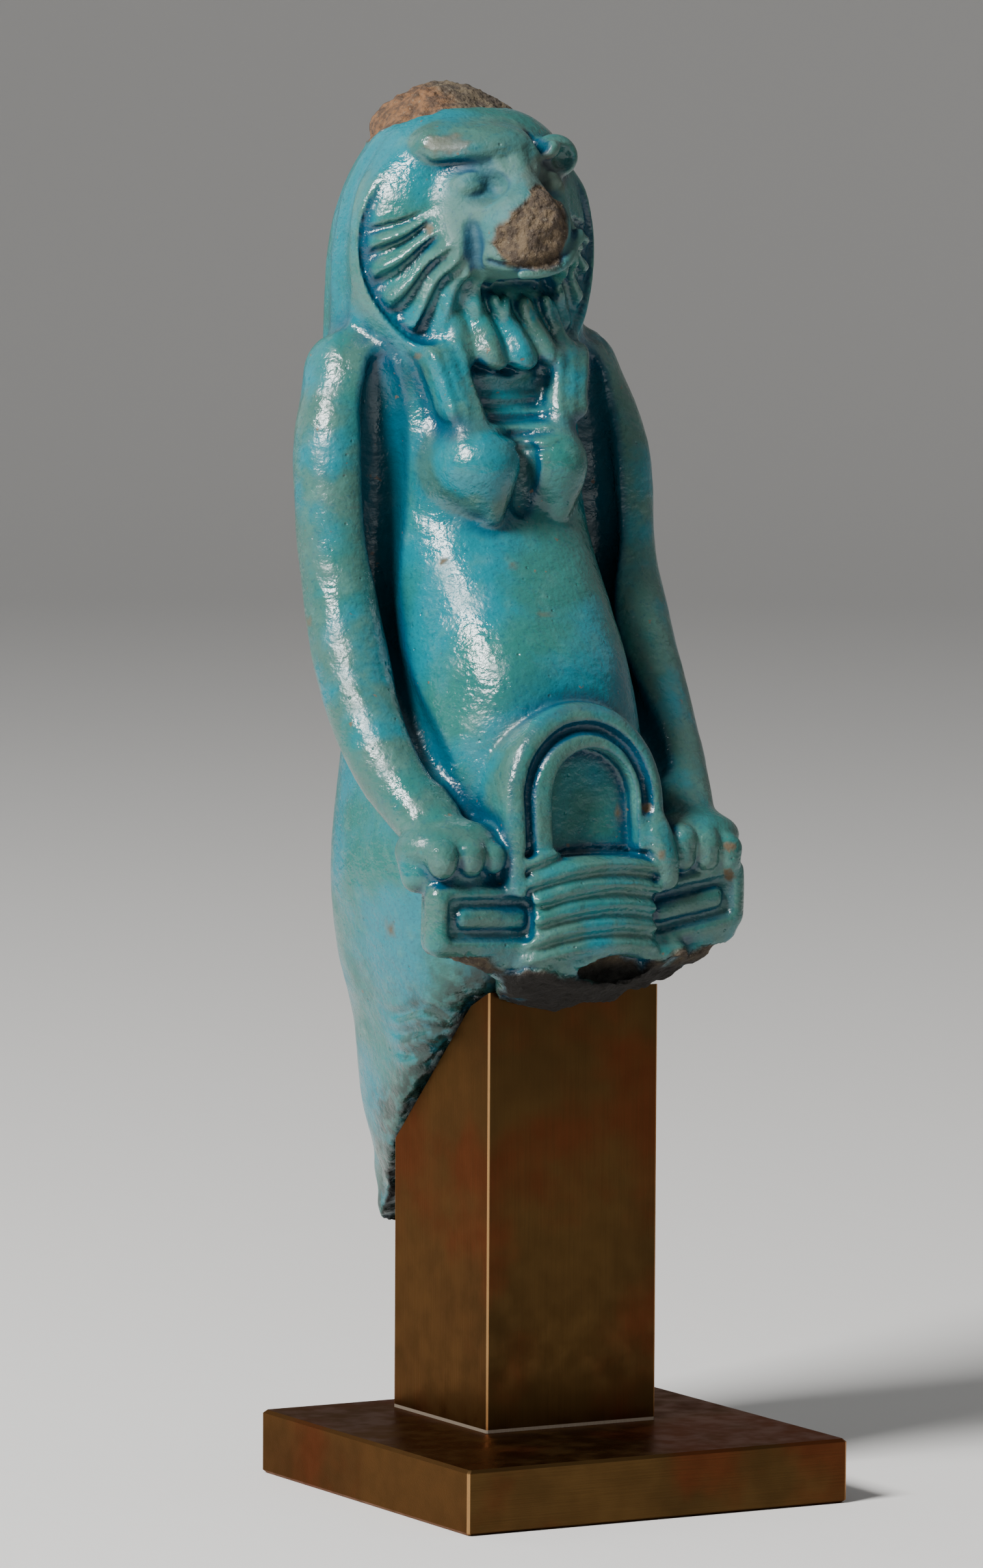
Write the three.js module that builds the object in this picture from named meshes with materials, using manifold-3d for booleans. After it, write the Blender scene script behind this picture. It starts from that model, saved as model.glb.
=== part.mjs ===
// A broken faience amulet of a lion-headed hippopotamus goddess, held on a brass post and plinth.
// Millimetres, +Z up. The origin is the middle of the plinth's underside, and the figure faces -Y.

import * as THREE from 'three';
import { mergeVertices } from 'three/addons/utils/BufferGeometryUtils.js';
import Module from 'manifold-3d';

const wasm = await Module();
wasm.setup();

// Plinth and post. The post's top is cut to the slope of the broken legs.
const PLINTH_SIDE = 40;
const PLINTH_THICKNESS = 6;
const PLINTH_BEVEL = 0.3;
const POST_SIDE = 18;
const POST_CHAMFER = 0.35;
const POST_X = 0.7;
const POST_Y = 6.6;
const POST_FRONT = POST_Y - POST_SIDE / 2;
const POST_BACK = POST_Y + POST_SIDE / 2;
const POST_FRONT_TOP = 47;
const POST_SHOULDER_RUN = 3.5;
const POST_SHOULDER_TOP = 45.4;
const POST_BACK_TOP = 31.4;
const CONTACT_GAP = 0.3;

// Sampling block, cell size and the number of triangles that are kept.
const BLOCK_LOW = [-19.5, -13, 20];
const BLOCK_HIGH = [20.5, 31, 132];
const CELL = 0.75;
const KEPT_TRIANGLES = 9600;
const RELIEF_REACH = 2.5;

// The figure's x is counted from its upright mid-plane, and a form on both sides is given once.
const MID_X = -1;

// Half width, front and back at each height.
const TORSO = [
  [22, 4.3, 10, 25], [26, 5.4, 8, 25.6], [34, 8, 3, 26.8], [42, 9.5, -2, 27.5],
  [50, 12.2, -3, 26.8], [58.5, 13.3, -3.9, 26], [69, 12, -5.2, 26.2], [76, 10.8, -4.6, 26.6],
  [83, 10.4, 0, 27], [92, 10.6, 5.8, 27.6], [100, 10.6, 7.6, 27.2], [108, 8.5, 9.5, 25.5],
];
const WIG = [
  [94, 9, 9, 27.6], [103, 11.9, 8.3, 28.5], [112, 12.3, 7.8, 28],
  [120, 11.4, 8.2, 26.2], [125.5, 8.8, 9.5, 23.4], [128, 6.6, 11, 21.8],
];
const BEARD = [
  [102, 5.4, 6.3, 15], [103.6, 6.2, 5.8, 15], [105.5, 6.8, 6.1, 15],
  [109.5, 6.8, 8.2, 15], [112, 6.4, 9.2, 15],
];
const BEARD_END = 102.9;

// Courses of limbs, ridges and grooves, as x, y, z and radius.
const ARM = [
  [12.6, 16.6, 103.6, 3.7], [14.8, 14.4, 96, 3.7], [15, 13, 86, 3.6],
  [15.4, 9.1, 76.3, 3.5], [15.1, 3.4, 68.2, 3.15], [13.6, -3, 61.8, 2.4],
];
const WEB = [
  [9.6, 16.6, 105, 1.6], [11.6, 16.2, 100, 2.2], [12.2, 15, 91, 2.4], [12.6, 14.4, 82, 2.4],
  [12.6, 11.8, 76.5, 2.2], [12.9, 5.6, 70, 2], [12.8, 1.5, 66, 2], [12.4, -1.6, 63.2, 2.2],
];
const ARM_GROOVE = [
  [10.4, 12.2, 106, 0.4], [10.9, 11, 102, 1.4], [11, 10.5, 91, 1.7], [11.4, 10.9, 82, 1.4],
  [11.3, 8.3, 76.5, 1.25], [11.6, 1.8, 70, 1.1], [11.4, -0.8, 67.5, 0.8],
];
const NIPPLE = [[4.6, 7.6, 93.4, 2.1], [4.1, 6.2, 91.6, 1.1]];
const NOSE_BRIDGE = [[1.4, 8, 124.2, 1.4], [1.4, 6.5, 121.8, 1.35], [1.8, 4.8, 119, 1.7]];
const NOSE_TOP = [[0, 7.8, 124.2, 1.5], [0, 6.2, 121.8, 1.5], [0, 4.8, 119, 1.9]];
const BROW = [[1.8, 7.2, 123.2, 1], [4.4, 7.8, 123.6, 1], [6.6, 9.3, 123.2, 0.9]];
const LOWER_LID = [[2.6, 6.9, 119.9, 0.5], [4.4, 6.9, 119.3, 0.55], [6.2, 8.3, 119.9, 0.5]];
const MOUTH = [[0, 0.9, 113.6, 0.35], [2.3, 1.6, 113.4, 0.35], [4.2, 3.8, 114, 0.25]];
const THUMB = [[15.8, -3.6, 60.4, 1.8], [16.2, -4.6, 58.2, 1.4]];
const NEAR_TAB_ROOT = [[-12.5, -6.3, 51.6, 1.2], [-9.3, -6, 51, 1.8], [-5, -5.6, 49.4, 2.6]];
const FAR_TAB_ROOT = [
  [15.5, -6.2, 52, 1], [13.2, -6.1, 51.2, 1.5], [10.5, -5.8, 49.6, 2.2], [7, -5.4, 48.4, 3],
];

// Rounded forms and hollows.
const SHOULDER = { centre: [9.8, 16.8, 103], radii: [5, 5.5, 3.6] };
const KNEE = { centre: [4.8, 7.5, 43], radii: [4.4, 6, 5] };
const BREAST = { centre: [5, 8.4, 95], radii: [3.7, 3.2, 3.8] };
const MANE = { centre: [-0.7, 13.8, 115.4], radii: [11.9, 5.4, 11.6] };
const CROWN = { centre: [-0.4, 20.2, 125.6], radii: [6.9, 7, 5] };
const FACE = { centre: [0, 10.8, 118.6], radii: [7.4, 6, 6.2] };
const MUZZLE = { centre: [0, 5.6, 116.6], radii: [4.7, 5.2, 4.6] };
const CHEEK = { centre: [4.4, 9, 115], radii: [3.2, 3.6, 3.6] };
const EYE_SOCKET = { centre: [4.3, 5.6, 121.2], radii: [2.2, 1.7, 1.5] };
const EYE = { centre: [4.4, 7.7, 120.9], radii: [1.6, 1.35, 1.05] };
const THROAT = { centre: [0, 5, 109.9], radii: [5.4, 4, 1.6] };
const FAR_EAR = { centre: [6.1, 9.6, 123.3], radii: [2, 1.5, 2] };
const FAR_EAR_CUP = { centre: [6.3, 7.9, 123.3], radii: [1.1, 1.3, 1.1] };
const NEAR_EAR = { centre: [-6.6, 9.9, 124.4], radii: [2, 1.2, 1.6] };
const NEAR_EAR_CUP = { centre: [-6.9, 7.9, 124.5], radii: [1.2, 1, 0.9] };
const PALM = { centre: [12.5, -4.7, 60.9], radii: [5.1, 3.3, 2.5] };
const FOOT_CHIP = { centre: [3.8, -7.9, 48.7], radii: [3.6, 1.6, 1.6] };

// Blocks with rounded edges.
const LAPPET = { centre: [5.7, 7.2, 102.9], half: [2.15, 1.8, 3.4], edge: 1.3 };
const TIE = { centre: [0, -6.6, 54.9], half: [7.2, 3, 5.2], edge: 1.3 };
const TAB = { centre: [11.2, -6.7, 53.9], half: [6, 1.45, 3.2], edge: 0.7 };
const TAB_PANEL = { centre: [11.6, -8.4, 53.9], half: [4.5, 0.95, 2.2], edge: 0.5 };
const TAB_RIDGE = { centre: [10.9, -7.3, 53.9], half: [3.7, 0.75, 0.85], edge: 0.6 };
const TAB_BACKING = { centre: [9, -3.6, 54.6], half: [5.6, 2.4, 4], edge: 1.6 };
const SIGN_FOOT = { centre: [1.6, -4.7, 48.2], half: [9, 3.6, 3.6], edge: 2 };

// The sign's double arch: its springing height, radii across and the slope of its face.
const ARCH_SPRING = 64.8;
const ARCH_TOP = 73.3;
const ARCH_RADIUS = 7.9;
const ARCH_GROOVE_RADIUS = 5.75;
const ARCH_GROOVE_DEPTH = 0.85;
const ARCH_OPENING_RADIUS = 3.85;
const ARCH_OPENING_DEPTH = 2;
const ARCH_FACE_Y = -7.4;
const ARCH_FACE_SLOPE = 0.1;
const FAR_TAB_TILT = 0.2;
const NEAR_TAB_TILT = 0.04;

// Knuckles, as x and radius: three broad ones on the near hand and four on the far one.
const KNUCKLES = [[-15, 1.4], [-12.2, 1.4], [-9.6, 1.3], [9.2, 1.05], [11.2, 1.1], [13.2, 1.1], [15.2, 1.05]];
const KNUCKLE_Z = 61;

// Spacing of the carved strands: across the beard, along the necklace, the tie, the knee and the tail,
// in degrees about the eye for the mane's locks, and the number of strands round half of the wig.
const BEARD_PITCH = 2.75;
const NECKLACE_PITCH = 1.35;
const TIE_PITCH = 1.85;
const KNEE_PITCH = 1.9;
const TAIL_PITCH = 3.4;
const LOCK_PITCH = 10;
const BROAD_LOCK_PITCH = 15;
const WIG_STRANDS = 11.5;

// The bare patch at the end of the muzzle, and the coarseness of the broken faces.
const MUZZLE_BREAK = { x: -0.2, z: 117, half: 3.7 };
const BREAK_PITCH = 1.3;
const UNDERSIDE_PITCH = 1.7;
const CROWN_BREAK_PITCH = 2.2;

const clamp = (t, low, high) => Math.min(high, Math.max(low, t));
const wave = (t) => 0.5 + 0.5 * Math.cos(2 * Math.PI * t);

function ease(low, high, t) {
  const s = clamp((t - low) / (high - low), 0, 1);
  return s * s * (3 - 2 * s);
}

const bump = (t) => ease(0, 1, 1 - Math.abs(t));
const between = (start, end, soft, t) => ease(start, start + soft, t) * (1 - ease(end - soft, end, t));

// Unevenness of a broken surface, between about -1.5 and 1.5.
function rough(x, y, z, pitch) {
  const [a, b, c] = [x / pitch, y / pitch, z / pitch];
  const { sin } = Math;
  const coarse = sin(1.7 * a + 0.9 * b + 2.1) * sin(1.3 * b - 1.1 * c + 0.4) * sin(1.9 * c + 0.7 * a + 1.3);
  const fine = sin(3.1 * a - 2.3 * b + 0.7) * sin(2.9 * b + 1.9 * c + 2.2) * sin(3.7 * c - 1.7 * a);
  return coarse + 0.55 * fine;
}

// The lesser of two distances, with the corner between them rounded over a radius.
function blend(a, b, radius) {
  const h = Math.max(radius - Math.abs(a - b), 0) / radius;
  return Math.min(a, b) - h * h * radius / 4;
}

// A form is a distance function with the box that holds it.
function boxed(distance, centre, half) {
  return { distance, low: centre.map((v, i) => v - half[i]), high: centre.map((v, i) => v + half[i]) };
}

function ball({ centre, radii }) {
  const distance = (x, y, z) => {
    const [px, py, pz] = [(x - centre[0]) / radii[0], (y - centre[1]) / radii[1], (z - centre[2]) / radii[2]];
    const k = Math.hypot(px, py, pz);
    return k * (k - 1) / Math.max(Math.hypot(px / radii[0], py / radii[1], pz / radii[2]), 1e-6);
  };
  return boxed(distance, centre, radii);
}

function block({ centre, half, edge }) {
  const distance = (x, y, z) => {
    const qx = Math.abs(x - centre[0]) - half[0] + edge;
    const qy = Math.abs(y - centre[1]) - half[1] + edge;
    const qz = Math.abs(z - centre[2]) - half[2] + edge;
    const outside = Math.hypot(Math.max(qx, 0), Math.max(qy, 0), Math.max(qz, 0));
    return outside + Math.min(Math.max(qx, qy, qz), 0) - edge;
  };
  return boxed(distance, centre, half);
}

// A limb along a smooth course of [x, y, z, radius] stations.
function limb(stations, steps = 4) {
  const course = new THREE.CatmullRomCurve3(stations.map((s) => new THREE.Vector3(s[0], s[1], s[2])));
  const count = (stations.length - 1) * steps;
  const sections = Array.from({ length: count + 1 }, (_, i) => {
    const at = i / steps;
    const k = Math.min(Math.floor(at), stations.length - 2);
    const point = course.getPoint(i / count);
    return [point.x, point.y, point.z, THREE.MathUtils.lerp(stations[k][3], stations[k + 1][3], at - k)];
  });
  const distance = (x, y, z) => {
    let nearest = Infinity;
    for (let i = 1; i < sections.length; i++) {
      const [a, b] = [sections[i - 1], sections[i]];
      const [dx, dy, dz] = [b[0] - a[0], b[1] - a[1], b[2] - a[2]];
      const along = (x - a[0]) * dx + (y - a[1]) * dy + (z - a[2]) * dz;
      const t = clamp(along / (dx * dx + dy * dy + dz * dz), 0, 1);
      const away = Math.hypot(x - a[0] - t * dx, y - a[1] - t * dy, z - a[2] - t * dz);
      nearest = Math.min(nearest, away - THREE.MathUtils.lerp(a[3], b[3], t));
    }
    return nearest;
  };
  const edge = (i, sign) => Math.max(...sections.map((s) => sign * s[i] + s[3])) * sign;
  return { distance, low: [0, 1, 2].map((i) => edge(i, -1)), high: [0, 1, 2].map((i) => edge(i, 1)) };
}

// A smooth curve through a table's rows, each a height followed by values.
function throughRows(table) {
  const slope = (i, k) => {
    const [a, b] = [table[Math.max(i - 1, 0)], table[Math.min(i + 1, table.length - 1)]];
    return (b[k] - a[k]) / (b[0] - a[0]);
  };
  return (height) => {
    const z = clamp(height, table[0][0], table.at(-1)[0]);
    const i = Math.min(table.findLastIndex((row) => row[0] <= z), table.length - 2);
    const span = table[i + 1][0] - table[i][0];
    const t = (z - table[i][0]) / span;
    return [1, 2, 3].map((k) => {
      const [a, b] = [table[i][k], table[i + 1][k]];
      const [p, q] = [slope(i, k) * span, slope(i + 1, k) * span];
      return a + t * (p + t * (3 * (b - a) - 2 * p - q + t * (2 * (a - b) + p + q)));
    });
  };
}

// A body with a rounded section at each height, from a table of half width, front and back.
function lofted(table, power, low, high, rounding) {
  const section = throughRows(table);
  let [lastZ, row] = [NaN, null];
  const distance = (x, y, z) => {
    if (z !== lastZ) [lastZ, row] = [z, section(z)];
    const [width, front, back] = row;
    const depth = (back - front) / 2;
    const px = Math.abs(x) / width;
    const py = Math.abs(y - (front + back) / 2) / depth;
    const k = Math.pow(px ** power + py ** power, 1 / power);
    const gradient = Math.hypot(px ** (power - 1) / width, py ** (power - 1) / depth)
      / Math.max(k, 1e-3) ** (power - 1);
    const away = (k - 1) / Math.max(gradient, 1e-3);
    const side = Math.min(away, Math.max((k - 1) * Math.min(width, depth), 0.7 * away));
    return -blend(-side, Math.min(z - low, high - z), rounding);
  };
  const widest = Math.max(...table.map((r) => r[1]));
  const [front, back] = [Math.min(...table.map((r) => r[2])), Math.max(...table.map((r) => r[3]))];
  return { distance, low: [-widest, front, low], high: [widest, back, high] };
}

// The same form on both sides of the mid-plane.
function both({ distance, low, high }) {
  const mirrored = (x, y, z) => distance(Math.abs(x), y, z);
  return { distance: mirrored, low: [-high[0], low[1], low[2]], high };
}

// The figure as a block of distances to its surface, joined, carved and raised part by part.
class Clay {
  constructor(low, high, cell) {
    this.low = low;
    this.cell = cell;
    this.count = low.map((v, i) => Math.ceil((high[i] - v) / cell) + 1);
    this.distance = new Float64Array(this.count[0] * this.count[1] * this.count[2]).fill(9);
  }

  index(i, j, k) {
    return (k * this.count[1] + j) * this.count[0] + i;
  }

  at(i, axis) {
    return this.low[axis] + this.cell * i;
  }

  // Replaces each distance inside a box by change(distance, x, y, z).
  within(low, high, change) {
    const first = low.map((v, a) => clamp(Math.floor((v - this.low[a]) / this.cell), 0, this.count[a]));
    const last = high.map((v, a) => clamp(Math.ceil((v - this.low[a]) / this.cell) + 1, 0, this.count[a]));
    for (let k = first[2]; k < last[2]; k++) {
      for (let j = first[1]; j < last[1]; j++) {
        for (let i = first[0]; i < last[0]; i++) {
          const n = this.index(i, j, k);
          this.distance[n] = change(this.distance[n], this.at(i, 0), this.at(j, 1), this.at(k, 2));
        }
      }
    }
  }

  // Works on the box of a form and on as much around it as its rounded corner reaches.
  around(form, radius, change) {
    const margin = radius + 2 * this.cell;
    this.within(form.low.map((v) => v - margin), form.high.map((v) => v + margin), change);
  }

  join(form, radius) {
    this.around(form, radius, (d, x, y, z) => blend(d, form.distance(x, y, z), radius));
  }

  carve(form, radius) {
    this.around(form, radius, (d, x, y, z) => -blend(-d, form.distance(x, y, z), radius));
  }

  raise(low, high, relief) {
    this.within(low, high, (d, x, y, z) => (Math.abs(d) < RELIEF_REACH ? d - relief(x, y, z) : d));
  }
}

function makeBody(clay) {
  clay.join(lofted(TORSO, 2.6, 20, 106, 3), 0.1);
  clay.join(both(limb(ARM)), 0.7);
  clay.join(both(ball(SHOULDER)), 2.2);
  clay.join(both(limb(WEB)), 1.5);
  clay.carve(both(limb(ARM_GROOVE)), 0.3);
  clay.join(both(ball(KNEE)), 1.5);
}

function makeBreasts(clay) {
  clay.join(both(ball(BREAST)), 1.6);
  clay.join(both(limb(NIPPLE, 1)), 0.7);
  clay.raise([-4, 4, 95], [4, 10, 103], (x, y, z) => {
    const shown = between(95.5, 103, 1, z) * (1 - ease(2.6, 3.5, Math.abs(x)));
    return 0.25 * shown * (wave((z - 0.02 * x * x) / NECKLACE_PITCH) - 0.4);
  });
}

function makeHead(clay) {
  clay.join(lofted(WIG, 2.2, 95.5, 128.2, 3.4), 1.4);
  clay.join(ball(MANE), 1.6);
  clay.join(ball(CROWN), 1.2);
  clay.raise([-14, 12, 95], [14, 30, 127], (x, y, z) => {
    const shown = ease(12.5, 15, y) * between(95.5, 127, 4, z);
    return 0.34 * shown * (wave(WIG_STRANDS * Math.atan2(Math.abs(x), y - 13) / Math.PI) - 0.6);
  });
}

function makeFace(clay) {
  clay.join(ball(FACE), 0.8);
  clay.join(ball(MUZZLE), 1.6);
  clay.join(both(ball(CHEEK)), 1.3);
  clay.join(both(limb(NOSE_BRIDGE)), 0.9);
  clay.join(limb(NOSE_TOP), 0.6);
  clay.join(both(limb(BROW)), 1);
  clay.carve(both(ball(EYE_SOCKET)), 0.7);
  clay.join(both(ball(EYE)), 0.25);
  clay.join(both(limb(LOWER_LID)), 0.5);
  clay.carve(both(limb(MOUTH)), 0.5);
  clay.carve(ball(THROAT), 0.8);
}

// The far ear is a whole cup, and the near one is worn low.
function makeEars(clay) {
  clay.join(ball(FAR_EAR), 0.5);
  clay.carve(ball(FAR_EAR_CUP), 0.4);
  clay.join(ball(NEAR_EAR), 1);
  clay.carve(ball(NEAR_EAR_CUP), 0.7);
}

// Locks of the mane fan out from beside the eye and end at a rounded rim.
function makeMane(clay) {
  clay.raise([-14, 4, 101], [14, 17, 128], (x, y, z) => {
    const side = Math.abs(x - MANE.centre[0]);
    const angle = THREE.MathUtils.radToDeg(Math.atan2(z - EYE.centre[2] - 0.6, Math.max(side - 1.5, 0.01)));
    const out = Math.hypot(side / (MANE.radii[0] + 0.3), (z - MANE.centre[2]) / (MANE.radii[2] + 0.2));
    const face = Math.hypot(side / 7.6, (z - 118.4) / 6.6);
    const shown = ease(1, 1.25, face) * (1 - ease(0.95, 1.03, out)) * (1 - ease(14.2, 15.5, y))
      * (1 - ease(40, 60, angle)) * ease(103, 105, z);
    const rim = bump((out - 1) / 0.14) * (1 - ease(15, 16.5, y)) * ease(102, 106, z);
    const pitch = angle > 4 ? BROAD_LOCK_PITCH : LOCK_PITCH;
    return shown * (0.85 * wave((angle + 1) / pitch) ** 0.7 - 0.6) + 0.45 * rim;
  });
}

function makeBeard(clay) {
  clay.join(lofted(BEARD, 2.4, BEARD_END, 114, 0.9), 0.8);
  clay.raise([-8.5, 2, BEARD_END - 1], [8.5, 13, 113], (x, y, z) => {
    const shown = (1 - ease(109.6, 111.5, z)) * (1 - ease(6.4, 7.6, Math.abs(x))) * (1 - ease(10, 11.5, y));
    return shown * (0.75 * wave(x / BEARD_PITCH + 0.1 * Math.sin(z)) ** 0.8 - 0.55);
  });
  const lappet = block(LAPPET);
  const leaning = (x, y, z) => lappet.distance(x - 0.22 * Math.max(z - 101, 0), y - 0.34 * (z - 101), z);
  clay.join(both({ distance: leaning, low: [3, 4, 99], high: [10, 12.5, 107] }), 0.8);
}

// The sign of protection: a double arch over a bound tie, with a framed tab on each side.
const signFace = (z) => ARCH_FACE_Y - ARCH_FACE_SLOPE * (ARCH_TOP - z);
const archRadius = (x, z) => Math.hypot(x, 0.92 * Math.max(z - ARCH_SPRING, 0));

function makeSignArch(clay) {
  const [back, foot] = [2, 56];
  const room = { low: [-ARCH_RADIUS, -11, foot], high: [ARCH_RADIUS, back, 75] };
  const arch = (x, y, z) => {
    const front = -blend(ARCH_RADIUS - archRadius(x, z), y - signFace(z), 1.8);
    return Math.max(front, y - back, foot - z);
  };
  const groove = (x, y, z) => {
    const across = archRadius(x, z) - ARCH_GROOVE_RADIUS;
    return Math.hypot(across, 0.85 * (y - signFace(z))) - ARCH_GROOVE_DEPTH;
  };
  const opening = (x, y, z) => {
    const floor = signFace(z) + ARCH_OPENING_DEPTH + 0.5 * bump(x / ARCH_OPENING_RADIUS);
    return Math.max(archRadius(x, z) - ARCH_OPENING_RADIUS, y - floor);
  };
  clay.join({ distance: arch, ...room }, 0.4);
  clay.carve({ distance: groove, ...room }, 0.5);
  clay.carve({ distance: opening, ...room }, 0.7);
}

function makeSignTabs(clay) {
  const tilted = (form) => {
    const mirrored = both(form);
    const lift = (x) => (x > 0 ? FAR_TAB_TILT : NEAR_TAB_TILT) * (Math.abs(x) - TIE.half[0]);
    const distance = (x, y, z) => mirrored.distance(x, y, z - lift(x));
    const high = mirrored.high.map((v, i) => (i === 2 ? v + lift(mirrored.high[0]) : v));
    return { distance, low: mirrored.low, high };
  };
  clay.join(tilted(block(TAB)), 0.4);
  clay.carve(tilted(block(TAB_PANEL)), 0.4);
  clay.join(tilted(block(TAB_RIDGE)), 0.4);
  clay.join(both(block(TAB_BACKING)), 1.2);
  clay.join(limb(NEAR_TAB_ROOT, 3), 1);
  clay.join(limb(FAR_TAB_ROOT, 3), 1);
}

function makeSignTie(clay) {
  const tie = block(TIE);
  clay.join({ ...tie, distance: (x, y, z) => tie.distance(x, y - 0.014 * x * x, z) }, 0.4);
  clay.raise([-9, -12, 48], [9, -3, 62], (x, y, z) => {
    const shown = (1 - ease(6.6, 7.4, Math.abs(x))) * between(49.6, 60.9, 0.8, z) * (1 - ease(-6.5, -5, y));
    return 0.55 * shown * (wave((z + 0.022 * (x - 1.5) ** 2 - 61) / TIE_PITCH) - 0.55);
  });
}

function makeHands(clay) {
  clay.join(both(ball(PALM)), 1.2);
  clay.join(both(limb(THUMB, 1)), 0.8);
  for (const [x, r] of KNUCKLES) {
    const [back, front] = [[x, -5.8, KNUCKLE_Z, r], [x, -7.3, KNUCKLE_Z - 0.4, r + 0.05]];
    const tip = [x, -7.6, KNUCKLE_Z - 1.6, r - 0.1];
    clay.join(limb([back, front, tip], 1), 0.3);
  }
}

function makeFoldsAndTail(clay) {
  clay.raise([-12, -3, 37], [12, 15, 47], (x, y, z) => {
    const shown = between(-2, 14, 5, y) * ease(38, 39.5, z) * (1 - ease(44, 46.5, z));
    return 0.3 * shown * (wave((z + 0.12 * (y - 6)) / KNEE_PITCH) - 0.5);
  });
  clay.raise([-8, 20, 18], [8, 31, 95], (x, y, z) => {
    const [side, width] = [Math.abs(x), 2.6 + 1.5 * (1 - ease(40, 92, z))];
    const strip = (1 - ease(width - 0.4, width + 0.5, side)) * (0.75 + 0.22 * wave(z / TAIL_PITCH));
    return ease(20, 23, y) * (1 - ease(90, 95, z)) * (strip - 0.5 * bump((side - width - 0.8) / 0.9));
  });
}

// Breaks: the muzzle's end and the crown are lost, and so are the legs and the foot of the sign.
function breakHead(clay) {
  clay.raise([-9, -2, 112], [9, 29, 132], (x, y, z) => {
    const patch = Math.hypot(x - MUZZLE_BREAK.x, z - MUZZLE_BREAK.z) / MUZZLE_BREAK.half;
    const muzzle = (1 - ease(0.9, 1.06, patch)) * (1 - ease(3, 3.9, y));
    const crown = ease(-0.4, 0.5, z - 126.6 + 0.42 * (y - 17.5) - 0.1 * x);
    return muzzle * (0.34 * rough(x, y, z, BREAK_PITCH) - 0.3)
      + crown * (0.4 * rough(x, y, z, CROWN_BREAK_PITCH) - 0.1);
  });
}

function breakSignFoot(clay) {
  const foot = block(SIGN_FOOT);
  clay.join({ ...foot, distance: (x, y, z) => foot.distance(x, y + 0.02 * (x - 1) ** 2, z) }, 0.8);
  clay.carve(ball(FOOT_CHIP), 0.4);
  const underside = (x, y, z) => 0.8 * (z - 46.9 - 0.022 * (x - 4) ** 2 + 0.45 * (y + 6)
    - 0.35 * rough(x, y, z, UNDERSIDE_PITCH));
  const [low, high] = [[-11, -13, 40], [15, POST_FRONT - 0.1, 50]];
  clay.within(low, high, (d, x, y, z) => -blend(-d, underside(x, y, z), 0.3));
}

// The legs end in a rough slope that carries on the post's cut top, down to the tip of the tail.
function slopeAt(y) {
  const backSlope = (POST_SHOULDER_TOP - POST_BACK_TOP) / (POST_BACK - POST_FRONT - POST_SHOULDER_RUN);
  const run = clamp(y - POST_FRONT, 0, POST_SHOULDER_RUN);
  const shoulder = POST_FRONT_TOP - run * (POST_FRONT_TOP - POST_SHOULDER_TOP) / POST_SHOULDER_RUN;
  return shoulder - backSlope * Math.max(y - POST_FRONT - POST_SHOULDER_RUN, 0);
}

function breakLegs(clay) {
  const below = (x, y, z) => 0.7 * (z - slopeAt(y) - 2 * CONTACT_GAP + 0.1 * rough(x, y, z, 0.8));
  clay.within([-20, POST_FRONT, 18], [20, 34, 50], (d, x, y, z) => -blend(-d, below(x, y, z), 0.1));
}

// Cuts each cell into six tetrahedra and lays triangles across those that the surface crosses.
const CORNERS = [0, 1, 2, 3, 4, 5, 6, 7];
const TETRAHEDRA = [[0, 1, 3, 7], [0, 1, 5, 7], [0, 2, 3, 7], [0, 2, 6, 7], [0, 4, 5, 7], [0, 4, 6, 7]];

function polygonise(clay) {
  const points = [];
  const triangles = [];
  const pointOn = new Map();
  const corner = (cell, bits) => [cell[0] + (bits & 1), cell[1] + ((bits >> 1) & 1), cell[2] + (bits >> 2)];
  const crossing = (cell, a, b) => {
    const [low, high] = [Math.min(a, b), Math.max(a, b)];
    const [from, to] = [corner(cell, low), corner(cell, high)];
    const key = clay.index(...from) * 8 + (high - low);
    if (!pointOn.has(key)) {
      const [p, q] = [clay.distance[clay.index(...from)], clay.distance[clay.index(...to)]];
      const t = clamp(p / (p - q), 0.03, 0.97);
      pointOn.set(key, points.length);
      const place = from.map((v, axis) => clay.at(THREE.MathUtils.lerp(v, to[axis], t), axis));
      points.push(new THREE.Vector3(...place));
    }
    return pointOn.get(key);
  };
  const middleOf = (list) => {
    const sum = new THREE.Vector3();
    for (const bits of list) sum.add(new THREE.Vector3(...corner([0, 0, 0], bits)));
    return sum.divideScalar(list.length);
  };
  const lay = (a, b, c, outwards) => {
    const normal = points[b].clone().sub(points[a]).cross(points[c].clone().sub(points[a]));
    triangles.push(normal.dot(outwards) > 0 ? [a, b, c] : [a, c, b]);
  };
  for (let k = 0; k < clay.count[2] - 1; k++) {
    for (let j = 0; j < clay.count[1] - 1; j++) {
      for (let i = 0; i < clay.count[0] - 1; i++) {
        const cell = [i, j, k];
        const filled = CORNERS.map((bits) => clay.distance[clay.index(...corner(cell, bits))] < 0);
        if (filled.every((v) => v === filled[0])) continue;
        for (const tetrahedron of TETRAHEDRA) {
          const inner = tetrahedron.filter((bits) => filled[bits]);
          const outer = tetrahedron.filter((bits) => !filled[bits]);
          if (!inner.length || !outer.length) continue;
          const outwards = middleOf(outer).sub(middleOf(inner));
          const ring = inner.flatMap((a, n) => {
            const turned = n % 2 ? [...outer].reverse() : outer;
            return turned.map((b) => crossing(cell, a, b));
          });
          lay(ring[0], ring[1], ring[2], outwards);
          if (ring.length === 4) lay(ring[0], ring[2], ring[3], outwards);
        }
      }
    }
  }
  return { points, triangles };
}

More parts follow.
